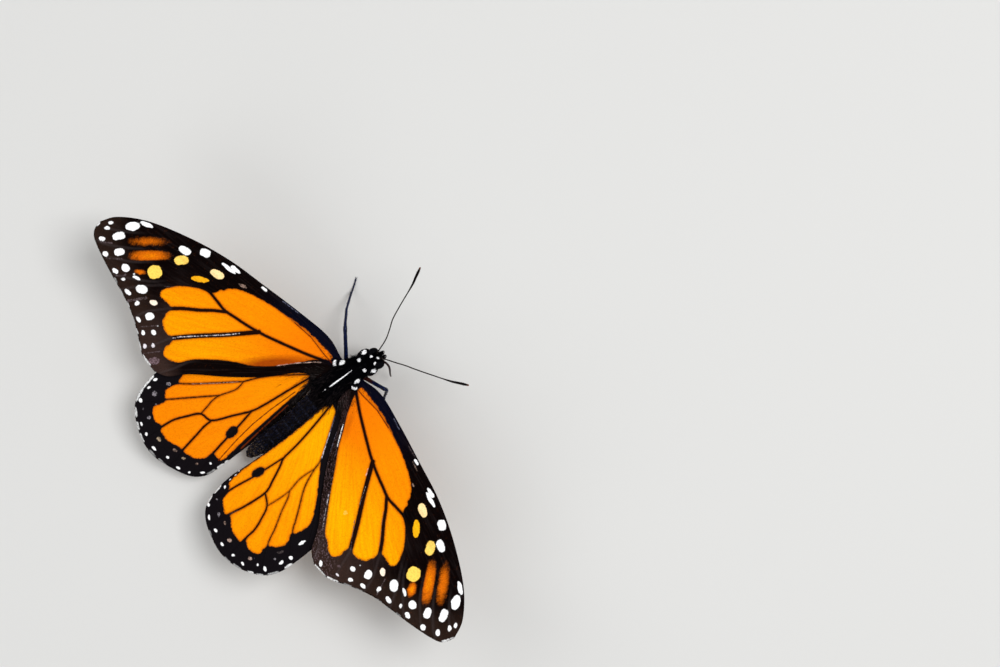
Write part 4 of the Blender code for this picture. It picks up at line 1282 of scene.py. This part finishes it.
def body_hairs(rng, low, high, count, length, width, lift, turns=(-math.pi, math.pi), stray=0.16):
    """Hairs over the skin between two places along it, lying toward the tail.

    low and high are places ahead of the wing roots, and turns is the part of the girth covered.
    """
    path = SKIN_PATH[:, 1]
    first, last = np.interp([low, high], path, np.linspace(0, 1, len(path)))
    t = first + (last - first) * rng.random(count * 3)
    girth = read_line(SKIN_PATH[:, 3:4] + SKIN_PATH[:, 4:5], t)[:, 0]
    kept = rng.random(len(t)) < girth / girth.max()
    t = t[kept][:count]
    turn = rng.uniform(*turns, len(t))
    p, facing, back = skin_facing(t, turn)
    sideways = np.cross(facing, back)
    lie = unit(back + sideways * rng.normal(0, stray, len(t))[:, None])
    n = len(t)
    long = length * rng.uniform(0.75, 1.2, n)
    white = body_white(p) > 0.0
    tip = p + lie * long[:, None]
    over_white = (body_white(tip) > -0.05) | (body_white(0.5 * (p + tip)) > -0.05)
    long = np.where(over_white & ~white, 0.35 * long, long)
    long = np.where(white, np.minimum(0.3, long), long)
    wide = np.where(white, 0.13, width * rng.uniform(0.8, 1.25, n))
    raised = np.where(white, 0.18, lift * rng.uniform(0.5, 1.5, n))
    tint = shades(rng, n, (0.0004, 0.0004, 0.0007, 1), (0.002, 0.0018, 0.003, 1))
    rear = np.clip((-4.5 - p[:, 1]) / 3.0, 0, 1)[:, None]
    tint = tint * (1 - rear) + shades(rng, n, (0.0005, 0.0004, 0.0005, 1),
                                      (0.007, 0.005, 0.006, 1)) * rear
    greyer = rng.random(n) < np.clip((1.5 - p[:, 1]) / 12.0, 0, 0.35) * np.abs(np.cos(turn))
    tint[greyer] = (0.022, 0.017, 0.018, 1)
    # A fifth of the abdomen's hairs are painted bluish: a painted blue sheen
    blue_sheen_hairs = (rng.random(n) < 0.2) & (p[:, 1] < -8.0)
    tint[blue_sheen_hairs] = (0.008, 0.011, 0.028, 1)
    speck = rng.random(n) < np.clip((-20.0 - p[:, 1]) / 12.0, 0, 0.3)
    tint[speck] = (0.12, 0.085, 0.06, 1)
    ring = np.min(np.abs(p[:, 1, None] - np.array(RING_LINES)[None] + 0.12), axis=1)
    lit = (ring < 0.16) & (p[:, 1] < -7) & (rng.random(n) < 0.55)
    tint[lit] = (0.020, 0.022, 0.040, 1)
    # White marks, the painted thorax highlight among them, get white scales
    tint[white] = WHITE_SCALES
    tint[:, 3] = 1.0
    flat = np.stack([0.01 + 0.98 * (t - first) / (last - first), (turn + math.pi) / math.tau], 1)
    return (places(p), facing * TO_WORLD, lie * TO_WORLD, long * 0.001, wide * 0.001, raised,
            tint, np.clip(flat, 0.004, 0.996))


def piece_hairs(rng, surface, count, shortest, longest, width, colour):
    """Hairs over a small closed piece, lying from its first end to its last.

    colour gives the hairs' colours for their places and shares of the way.
    """
    t, turn = rng.uniform(0.03, 0.97, count), rng.uniform(-math.pi, math.pi, count)
    p = surface(t, turn)
    along = surface(np.clip(t + 0.01, 0, 1), turn) - surface(np.clip(t - 0.01, 0, 1), turn)
    facing = np.cross(surface(t, turn + 0.05) - surface(t, turn - 0.05), along)
    facing[np.sum(facing * (p - surface(t, turn + math.pi)), 1) < 0] *= -1
    flat = np.stack([0.02 + 0.96 * t, 0.02 + 0.96 * (turn + math.pi) / math.tau], 1)
    return (places(p), unit(facing) * TO_WORLD, unit(along) * TO_WORLD,
            rng.uniform(shortest, longest, count) * 0.001,
            np.full(count, width * 0.001), rng.uniform(0.2, 0.6, count), colour(p, t, turn), flat)


def wing_spots(kind, word, s, t):
    """Places on a wing's upper face, the way it faces, and the ways out and back along it."""
    flat, shape = wing_shape(kind, word, s, t)
    step = 0.004
    p = set_on_body(shape, kind, word)
    out = set_on_body(wing_shape(kind, word, s + step, t)[1], kind, word) - p
    back = set_on_body(wing_shape(kind, word, s, t + step)[1], kind, word) - p
    return flat, p, unit(np.cross(out, back) * SIDES[word]), unit(out), unit(back)


def fringe_hairs(rng, kind, word, count, length):
    """The fringe along a wing's outer edge, pale in short lengths between the veins."""
    t = np.sort(rng.random(count))
    s = np.full(count, 0.997)
    flat, p, facing, out, back = wing_spots(kind, word, s, t)
    lie = unit(out + back * rng.normal(0, 0.12, count)[:, None])
    side = np.where(rng.random(count) < 0.5, 1.0, -1.0)[:, None]
    colour = shades(rng, count, (0.002, 0.001, 0.001, 1), (0.02, 0.013, 0.011, 1))
    margin = smooth_line(edge_lines(kind, word)[1], EDGE_STEPS)
    for start, end, bright in FRINGE_MARKS[kind, word]:
        share = np.sort(to_line(np.array([start, end]), margin)[1]) + np.array([-0.004, 0.004])
        pale = (t > share[0]) & (t < share[1]) & (rng.random(count) < 0.92)
        colour[pale] = shades(rng, int(pale.sum()), (*[bright * 0.62] * 3, 1),
                              (*[bright * 0.92] * 3, 1))
    colour[:, 3] = 1.0
    long = length * rng.uniform(0.75, 1.05, count)
    flat_map = np.stack([0.01 + 0.98 * t, 0.25 + 0.5 * (side[:, 0] > 0)
                         + 0.2 * (rng.random(count) - 0.5)], 1)
    return (p + facing * side * 0.00004, facing * side, lie, long * 0.001,
            rng.uniform(0.14, 0.24, count) * 0.001, rng.uniform(-0.05, 0.1, count), colour,
            flat_map)


def base_hairs(rng, kind, word, count, long, spread):
    """Long hairs over a wing's root, lying out along the wing."""
    s = np.clip(rng.beta(1.1, 3.5, count) * spread, 0.004, 0.9)
    t = rng.random(count) if kind == "fore" else 1 - rng.beta(1.2, 2.2, count) * 0.8
    t = np.clip(t, 0.01, 0.985)
    flat, p, facing, out, back = wing_spots(kind, word, s, t)
    lie = unit(out * 0.8 + back * rng.uniform(0.0, 0.6, count)[:, None])
    values = wing_marks(kind, word, flat)[0]
    colour = shades(rng, count, (0.002, 0.002, 0.002, 1), (0.022, 0.015, 0.013, 1))
    colour[rng.random(count) < 0.1] = (0.07, 0.06, 0.06, 1)
    kept = (values["cell"] < 0.15) | (rng.random(count) < 0.03)
    size = rng.uniform(0.6, 1.2, count) * long
    flat_map = np.stack([0.02 + 0.96 * s / spread, 0.02 + 0.96 * t], 1)
    rows = (p, facing, lie, size * 0.001, np.full(count, 0.00007), rng.uniform(0.05, 0.3, count),
            colour, np.clip(flat_map, 0.004, 0.996))
    return tuple(row[kept] for row in rows)


def fold_hairs(rng, word, count, length):
    """Long hairs along a hindwing's inner margin, lying in toward the body."""
    s, t = rng.uniform(0.03, 0.55, count), rng.uniform(0.84, 0.985, count)
    flat, p, facing, out, back = wing_spots("hind", word, s, t)
    lie = unit(back + out * rng.uniform(0.3, 1.2, count)[:, None])
    colour = shades(rng, count, (0.001, 0.001, 0.001, 1), (0.014, 0.009, 0.008, 1))
    colour[rng.random(count) < 0.08] = (0.06, 0.05, 0.05, 1)
    flat_map = np.stack([0.02 + 0.96 * s, 0.02 + 0.96 * t], 1)
    return (p, facing, lie, length * rng.uniform(0.6, 1.2, count) * 0.001, np.full(count, 0.00007),
            rng.uniform(0.1, 0.5, count), colour, flat_map)


# ---------------------------------------------------------------- settings


class MonarchWings(bpy.types.PropertyGroup):
    """Sizes of the wings' finish."""

    thickness_mm: bpy.props.FloatProperty(
        name="Membrane", description="Thickness of a wing between its veins, in millimetres",
        default=0.16, min=0.08, max=0.5)
    vein_mm: bpy.props.FloatProperty(
        name="Veins", description="How far the veins stand out of each face, in millimetres",
        default=0.11, min=0.0, max=0.3)
    fringe_mm: bpy.props.FloatProperty(
        name="Fringe", description="Length of the fringe along the outer edge, in millimetres",
        default=0.27, min=0.1, max=1.0)


class MonarchBody(bpy.types.PropertyGroup):
    """Sizes of the body's coat."""

    thorax_hair_mm: bpy.props.FloatProperty(
        name="Thorax hair", description="Length of the hair on the thorax, in millimetres",
        default=0.85, min=0.1, max=2.0)
    abdomen_hair_mm: bpy.props.FloatProperty(
        name="Abdomen scales", description="Length of the scales on the abdomen, in millimetres",
        default=0.42, min=0.1, max=1.0)
    head_hair_mm: bpy.props.FloatProperty(
        name="Head hair", description="Length of the hair on the head, in millimetres",
        default=0.42, min=0.1, max=1.0)


class MonarchStage(bpy.types.PropertyGroup):
    """The floor, the lights and the camera."""

    floor_colour: bpy.props.FloatVectorProperty(
        name="Floor", description="Colour of the floor", subtype="COLOR", size=3,
        default=(0.62, 0.62, 0.61), min=0.0, max=1.0)
    camera_distance: bpy.props.FloatProperty(
        name="Distance", description="Camera to the wing roots", default=0.38, unit="LENGTH")
    lens: bpy.props.FloatProperty(
        name="Lens", description="Focal length in millimetres", default=73.3, unit="CAMERA")
    key_power: bpy.props.FloatProperty(
        name="Key light", description="Power of the main soft light", default=3.4, unit="POWER")


# ---------------------------------------------------------------- operators


class MONARCH_OT_wings(bpy.types.Operator):
    """Build the four wings with their veins and markings"""

    bl_idname = "monarch.wings"
    bl_label = "Wings"

    def execute(self, context):
        for kind in ("fore", "hind"):
            for word in SIDES:
                make_wing(kind, word, context.scene.monarch_wings)
        return {"FINISHED"}


class MONARCH_OT_skin(bpy.types.Operator):
    """Build the one skin of head, thorax and abdomen"""

    bl_idname = "monarch.skin"
    bl_label = "Skin"

    def execute(self, context):
        skin, t, turn, p = from_ball("body_skin", 80, 300, skin_shape, skin_material())
        give_values(skin.data, {"white": body_white(p),
                                "rear": np.clip((-4.0 - p[:, 1]) / 4.0, 0, 1)})
        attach(skin, "root")
        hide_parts("head", "thorax", "abdomen")
        return {"FINISHED"}


class MONARCH_OT_coat(bpy.types.Operator):
    """Cover the body with hair and scales, and give the wings their fringes and root hairs"""

    bl_idname = "monarch.coat"
    bl_label = "Coat"

    def execute(self, context):
        rng = np.random.default_rng(SEEDS["coat"])
        body, wings = context.scene.monarch_body, context.scene.monarch_wings
        soft = hair_material("black_hair", 0.5, 0.002)
        thorax = [body_hairs(rng, -6.6, 4.4, 9000, body.thorax_hair_mm, 0.075, 0.30)]
        for turns in ((-0.5, 0.9), (math.pi - 0.9, math.pi + 0.5)):
            thorax.append(body_hairs(rng, -6.8, 1.0, 900, 2.2 * body.thorax_hair_mm, 0.07, 0.22,
                                     turns, 0.35))
        make_coat("thorax_hair", soft, thorax)
        waist = [body_hairs(rng, -6.6, -4.0, 700, 2.3 * body.thorax_hair_mm, 0.08, 0.8, turns, 0.4)
                 for turns in ((-0.4, 1.2), (math.pi - 1.2, math.pi + 0.4))]
        waist += [body_hairs(rng, 3.0, 5.3, 700, body.thorax_hair_mm, 0.07, 0.7, turns, 0.5)
                  for turns in ((-0.6, 1.1), (math.pi - 1.1, math.pi + 0.6))]
        make_coat("waist_and_collar_hair", soft, waist)
        abdomen = [body_hairs(rng, -25.0, -6.4, 9800, body.abdomen_hair_mm, 0.12, 0.14)]
        for turns in ((-0.5, 0.9), (math.pi - 0.9, math.pi + 0.5)):
            abdomen.append(body_hairs(rng, -21.0, -6.6, 800, 1.6 * body.abdomen_hair_mm, 0.07, 0.3,
                                      turns, 0.3))
        make_coat("abdomen_scales", soft, abdomen)
        head = [body_hairs(rng, 4.3, 7.2, 5200, body.head_hair_mm, 0.065, 0.42)]
        head.append(body_hairs(rng, 6.2, 7.2, 900, 1.3 * body.head_hair_mm, 0.06, 0.9, stray=0.6))
        make_coat("head_hair", soft, head)
        for kind, fringe, base in (("fore", 1500, 1500), ("hind", 1300, 2200)):
            for word in SIDES:
                hairs = fringe_hairs(rng, kind, word, fringe, wings.fringe_mm)
                make_coat(f"{word}_{kind}wing_fringe", soft, [hairs])
                long, spread = (1.3, 0.16) if kind == "fore" else (1.6, 0.35)
                hairs = [base_hairs(rng, kind, word, base, long, spread)]
                if kind == "hind":
                    hairs.append(fold_hairs(rng, word, 1600, 1.3))
                make_coat(f"{word}_{kind}wing_root_hair", soft, hairs)
        return {"FINISHED"}


class MONARCH_OT_head(bpy.types.Operator):
    """Build the eyes, the palps and the tongue"""

    bl_idname = "monarch.head"
    bl_label = "Eyes, palps and tongue"

    def execute(self, context):
        rng = np.random.default_rng(SEEDS["head"])
        for word, side in SIDES.items():
            self.make_eye(word, side)
            self.make_palp(rng, word, side)
        for name, (middle, half) in COVERS.items():
            self.make_cover(rng, name, middle, half)
        line = smooth_line(TONGUE, 90)
        widths = np.linspace(0.24, 0.14, 20)
        tongue, t, turn, p = from_ball("tongue", 14, 150, tube_surface(line, widths),
                                       tongue_material())
        give_values(tongue.data, {"ring": 0.5 + 0.5 * np.sin(t * 260)})
        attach(tongue, "root")
        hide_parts("proboscis")
        return {"FINISHED"}

    @staticmethod
    def make_eye(word, side):
        def surface(t, turn):
            x = EYE_HALF[0] * np.sin(np.pi * t) * np.cos(turn) + side * EYE_AT[0]
            y = EYE_HALF[1] * np.sin(np.pi * t) * np.sin(turn) + EYE_AT[1]
            z = -EYE_HALF[2] * np.cos(np.pi * t) + EYE_AT[2]
            return np.stack(on_head(x, y, z), 1)

        eye, t, turn, p = from_ball(f"{word}_compound_eye", 56, 40, surface, eye_material())
        give_values(eye.data, {"upward": -np.cos(np.pi * t)})
        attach(eye, "root")
        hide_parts(f"eye_{word}")

    @staticmethod
    def make_palp(rng, word, side):
        lean = math.radians(PALP_LEAN)

        def surface(t, turn):
            wide = np.sin(np.pi * t) ** 0.8 * (0.7 + 0.45 * np.sin(np.pi * (0.15 + 0.6 * (1 - t))))
            x = PALP_HALF[0] * wide * np.cos(turn)
            y = PALP_HALF[1] * wide * np.sin(turn)
            z = -PALP_HALF[2] * np.cos(np.pi * t)
            y, z = y * math.cos(lean) + z * math.sin(lean), z * math.cos(lean) - y * math.sin(lean)
            return np.stack(on_head(x + side * PALP_AT[0], y + PALP_AT[1], z + PALP_AT[2]), 1)

        finish = bpy.data.materials.get("body_skin")
        palp, t, turn, p = from_ball(f"{word}_palp", 20, 28, surface, finish)
        give_values(palp.data, {"white": np.full(len(t), -1.0), "rear": np.zeros(len(t))})
        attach(palp, "root")
        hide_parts(f"palp_{word}")

        def colour(p, t, turn):
            tint = shades(rng, len(t), (0.002, 0.002, 0.003, 1), (0.015, 0.012, 0.014, 1))
            tint[(t > 0.86) & (np.cos(turn + side * 0.8) > 0.3)] = (0.55, 0.53, 0.52, 1)
            return tint

        hairs = piece_hairs(rng, surface, 900, 0.18, 0.36, 0.06, colour)
        make_coat(f"{word}_palp_hair", hair_material("black_hair", 0.5, 0.002), [hairs])

    @staticmethod
    def make_cover(rng, name, middle, half):
        def surface(t, turn):
            wide = np.sin(np.pi * t)
            return np.stack([middle[0] + half[0] * wide * np.cos(turn),
                             middle[1] + half[1] * np.cos(np.pi * t),
                             middle[2] + half[2] * wide * np.sin(turn)], 1)

        def colour(p, t, turn):
            tint = shades(rng, len(t), (0.001, 0.001, 0.0015, 1), (0.006, 0.005, 0.007, 1))
            tint[body_white(p) > 0.0] = WHITE_SCALES
            return tint

        cover, t, turn, p = from_ball(f"{name}_lobe", 32, 24, surface,
                                      bpy.data.materials.get("body_skin"))
        give_values(cover.data, {"white": body_white(p), "rear": np.zeros(len(t))})
        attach(cover, "root")
        hairs = piece_hairs(rng, surface, 1700, 0.16, 0.32, 0.09, colour)
        make_coat(f"{name}_hair", hair_material("black_hair", 0.5, 0.002), [hairs])


class MONARCH_OT_feelers(bpy.types.Operator):
    """Build the two ringed feelers with their clubs"""

    bl_idname = "monarch.feelers"
    bl_label = "Feelers"

    def execute(self, context):
        finish = feeler_material()
        for name, route in FEELERS.items():
            line = smooth_line(route, FEELER_STEPS)
            share = np.linspace(0, 1, len(line))
            beat = np.abs(np.sin(np.pi * share * FEELER_RINGS))
            club = np.interp(share, [0, 0.03, 0.06, 0.72, 0.86, 0.95, 1],
                             [0.17, 0.17, 0.12, 0.115, 0.24, 0.27, 0.15])
            widths = club * (0.86 + 0.14 * beat)
            word = name.split("_")[1]
            feeler, t, turn, p = from_ball(f"{word}_feeler", 16, 420, tube_surface(line, widths),
                                           finish)
            along = past_cap(t)
            joint = np.clip(1 - np.abs(np.sin(np.pi * along * FEELER_RINGS)) * 2.2, 0, 1)
            give_values(feeler.data, {"white": joint * (along < 0.8),
                                      "tip": np.clip((along - 0.97) / 0.03, 0, 1)})
            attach(feeler, "root")
            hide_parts(name)
        return {"FINISHED"}


class MONARCH_OT_legs(bpy.types.Operator):
    """Build the four walking legs and the two small tucked forelegs"""

    bl_idname = "monarch.legs"
    bl_label = "Legs"

    def execute(self, context):
        rng = np.random.default_rng(SEEDS["legs"])
        spines = []
        legs = [(name, route, LEG_WIDTHS) for name, route in LEGS.items()]
        legs += [(name, route, FORELEG_WIDTHS) for name, route in FORELEGS.items()]
        for number, (name, route, at_points) in enumerate(legs):
            walking = at_points is LEG_WIDTHS
            line, marks = bent_line(route, LEG_STEPS, LEG_SOFTENING)
            share = np.linspace(0, 1, len(line))
            widths = np.interp(share, marks, at_points)
            if walking:
                tarsus = np.clip((share - marks[5]) / (1 - marks[5]), 0, 1)
                widths *= 1 - 0.22 * (tarsus > 0) * np.abs(np.cos(np.pi * tarsus * 5)) ** 6
                widths *= 1 + 0.16 * np.exp(-((share - marks[2]) / 0.03) ** 2)
            part, word = name.split("_")
            leg, t, turn, p = from_ball(f"{word}_{part}", 20, 320,
                                        tube_surface(line, widths, sole=0.02), limb_material())
            along = past_cap(t)
            # A painted highlight on the upper side of each walking leg's knee
            knee_highlight = walking * np.exp(-((along - marks[2]) / 0.012) ** 2) * (np.sin(turn) > 0)
            red_end = marks[1] + (0.12 if name == "midleg_right" else 0.03)
            ruddy = np.clip((red_end - along) / 0.04, 0, 1)
            give_values(leg.data, {"white": knee_highlight, "ruddy": ruddy})
            give_map(leg.data, "lie", np.stack([along * 0.4, turn * 0.012], 1))
            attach(leg, "root")
            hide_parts(name)
            spines.append(self.leg_spines(rng, line, widths, marks, walking, number, red_end))
            if walking:
                self.make_claws(leg, line)
        make_coat("leg_spines", hair_material("leg_bristles", 0.4, 0.05), spines)
        return {"FINISHED"}

    @staticmethod
    def leg_spines(rng, line, widths, marks, walking, number, red_end):
        count = 520 if walking else 420
        along = rng.uniform(0.05, 0.985, count)
        turn = rng.uniform(-math.pi, math.pi, count)
        run, side, over = line_frames(line)
        wide = np.interp(along, np.linspace(0, 1, len(line)), widths)
        facing = (np.cos(turn)[:, None] * read_line(side, along)
                  + np.sin(turn)[:, None] * read_line(over, along))
        p = read_line(line, along) + facing * wide[:, None]
        p[:, 2] = np.maximum(p[:, 2], 0.06)
        lie = read_line(run, along)
        lower = walking & (along > marks[3])
        length = np.where(lower, rng.uniform(0.2, 0.36, count), rng.uniform(0.22, 0.4, count))
        lift = np.where(lower, rng.uniform(0.3, 0.8, count), rng.uniform(0.05, 0.2, count))
        lift = np.where(p[:, 2] < 0.45, np.where(facing[:, 2] < 0, 0.0, 0.3), lift)
        wide = np.where(lower, 0.05, 0.1)
        tint = shades(rng, count, (0.001, 0.0015, 0.004, 1), (0.006, 0.012, 0.04, 1))
        tint[along < red_end] = (0.035, 0.006, 0.003, 1)
        flat = np.stack([0.02 + 0.96 * along,
                         (number + 0.1 + 0.8 * (turn + math.pi) / math.tau) / 6], 1)
        return (places(p), facing * TO_WORLD, lie * TO_WORLD, length * 0.001, wide * 0.001, lift,
                tint, flat)

    @staticmethod
    def make_claws(leg, line):
        run = line[-1] - line[-12]
        run[2] = 0
        run /= np.linalg.norm(run)
        side = np.array([-run[1], run[0], 0.0])
        made = []
        for way in (-1, 1):
            start = line[-1] + way * 0.05 * side
            route = [start, start + 0.10 * run + way * 0.07 * side + [0, 0, 0.03],
                     start + 0.20 * run + way * 0.10 * side + [0, 0, -0.02],
                     start + 0.26 * run + way * 0.08 * side + [0, 0, -0.13]]
            claw, t, turn, p = from_ball("claw", 8, 16, tube_surface(smooth_line(route, 16),
                                         [0.045, 0.04, 0.03, 0.012], sole=0.01), limb_material())
            give_values(claw.data, {"white": np.zeros(len(t)), "ruddy": np.zeros(len(t))})
            give_map(claw.data, "lie", np.stack([t * 0.01, turn * 0.002], 1))
            made.append(claw)
        deselect()
        for claw in made:
            claw.select_set(True)
        leg.select_set(True)
        bpy.context.view_layer.objects.active = leg
        bpy.ops.object.join()


# The camera's lean to the side and ahead and its roll in degrees, and its lens shift
CAMERA_LEAN = (-6.0, 7.0)
CAMERA_ROLL = 39.6
CAMERA_SHIFT = (0.153, 0.041)
SENSOR_MM = 36.0
# Each light: name, place, size and share of the key light's power. All face one place
LIGHTS = (("key", (-0.16, -0.30, 0.62), 0.30, 1.0), ("fill", (0.45, 0.15, 0.45), 0.5, 0.35),
          ("rim", (-0.10, 0.55, 0.40), 0.4, 0.35))
LIT_PLACE = (0.0, 0.0, 0.01)
WORLD_LIGHT = 0.38


class MONARCH_OT_stage(bpy.types.Operator):
    """Set the floor, the soft lights and the camera"""

    bl_idname = "monarch.stage"
    bl_label = "Stage"

    def execute(self, context):
        stage = context.scene.monarch_stage
        scene = context.scene
        deselect()
        bpy.ops.mesh.primitive_plane_add(size=4.0)
        floor = context.object
        floor.name = "floor"
        material, tree, shader = new_material("floor_paper", Roughness=0.85,
                                              Specular_IOR_Level=0.2,
                                              Base_Color=(*stage.floor_colour, 1.0))
        floor.data.materials.append(material)

        world = bpy.data.worlds.new("studio")
        scene.world = world
        world.use_nodes = True
        sky = world.node_tree.nodes["Background"]
        sky.inputs["Color"].default_value = (1.0, 1.0, 1.0, 1.0)
        sky.inputs["Strength"].default_value = WORLD_LIGHT
        for name, spot, size, share in LIGHTS:
            bpy.ops.object.light_add(type="AREA", location=spot)
            light = context.object
            light.name = name
            light.data.size = size
            light.data.energy = stage.key_power * share
            aim = Vector(LIT_PLACE) - Vector(spot)
            light.rotation_euler = aim.to_track_quat("-Z", "Y").to_euler()

        self.add_camera(scene, stage)
        scene.view_settings.view_transform = "Standard"
        return {"FINISHED"}

    @staticmethod
    def add_camera(scene, stage):
        roots = at(0.0, 0.0, HINDWING_HEIGHT)
        lean_side, lean_ahead = (math.sin(math.radians(CAMERA_LEAN[0])),
                                 -math.sin(math.radians(CAMERA_LEAN[1])))
        back = Vector((lean_side, lean_ahead, math.sqrt(1 - lean_side ** 2 - lean_ahead ** 2)))
        spot = roots + back * stage.camera_distance
        forward = Vector((0.0, -1.0, 0.0))
        forward = (forward - back * forward.dot(back)).normalized()
        roll = math.radians(CAMERA_ROLL)
        across = forward.cross(back)
        right = forward * math.cos(roll) + across * math.sin(roll)
        up = back.cross(right)
        camera = bpy.data.objects.new("camera", bpy.data.cameras.new("camera"))
        scene.collection.objects.link(camera)
        axes = Matrix((right, up, back)).transposed()
        camera.matrix_world = Matrix.Translation(spot) @ axes.to_4x4()
        camera.data.lens = stage.lens
        camera.data.sensor_width = SENSOR_MM
        camera.data.shift_x, camera.data.shift_y = CAMERA_SHIFT
        camera.data.clip_start = 0.01
        scene.camera = camera


class MONARCH_PT_panel(bpy.types.Panel):
    """The steps that build the butterfly"""

    bl_idname = "MONARCH_PT_panel"
    bl_label = "Monarch butterfly"
    bl_space_type = "VIEW_3D"
    bl_region_type = "UI"
    bl_category = "Monarch"

    def draw(self, context):
        for group in (context.scene.monarch_wings, context.scene.monarch_body,
                      context.scene.monarch_stage):
            for name in group.bl_rna.properties.keys():
                if name not in {"rna_type", "name"}:
                    self.layout.prop(group, name)
        for operator in OPERATORS:
            self.layout.operator(operator.bl_idname)


GROUPS = (MonarchWings, MonarchBody, MonarchStage)
OPERATORS = (MONARCH_OT_skin, MONARCH_OT_head, MONARCH_OT_feelers, MONARCH_OT_legs,
             MONARCH_OT_wings, MONARCH_OT_coat, MONARCH_OT_stage)


def register():
    for kind in (*GROUPS, *OPERATORS, MONARCH_PT_panel):
        bpy.utils.register_class(kind)
    bpy.types.Scene.monarch_wings = bpy.props.PointerProperty(type=MonarchWings)
    bpy.types.Scene.monarch_body = bpy.props.PointerProperty(type=MonarchBody)
    bpy.types.Scene.monarch_stage = bpy.props.PointerProperty(type=MonarchStage)


def unregister():
    for name in ("monarch_wings", "monarch_body", "monarch_stage"):
        delattr(bpy.types.Scene, name)
    for kind in reversed((*GROUPS, *OPERATORS, MONARCH_PT_panel)):
        bpy.utils.unregister_class(kind)


def main():
    register()
    bpy.ops.monarch.skin()
    bpy.ops.monarch.head()
    bpy.ops.monarch.feelers()
    bpy.ops.monarch.legs()
    bpy.ops.monarch.wings()
    bpy.ops.monarch.coat()
    bpy.ops.monarch.stage()


if __name__ == "__main__":
    main()
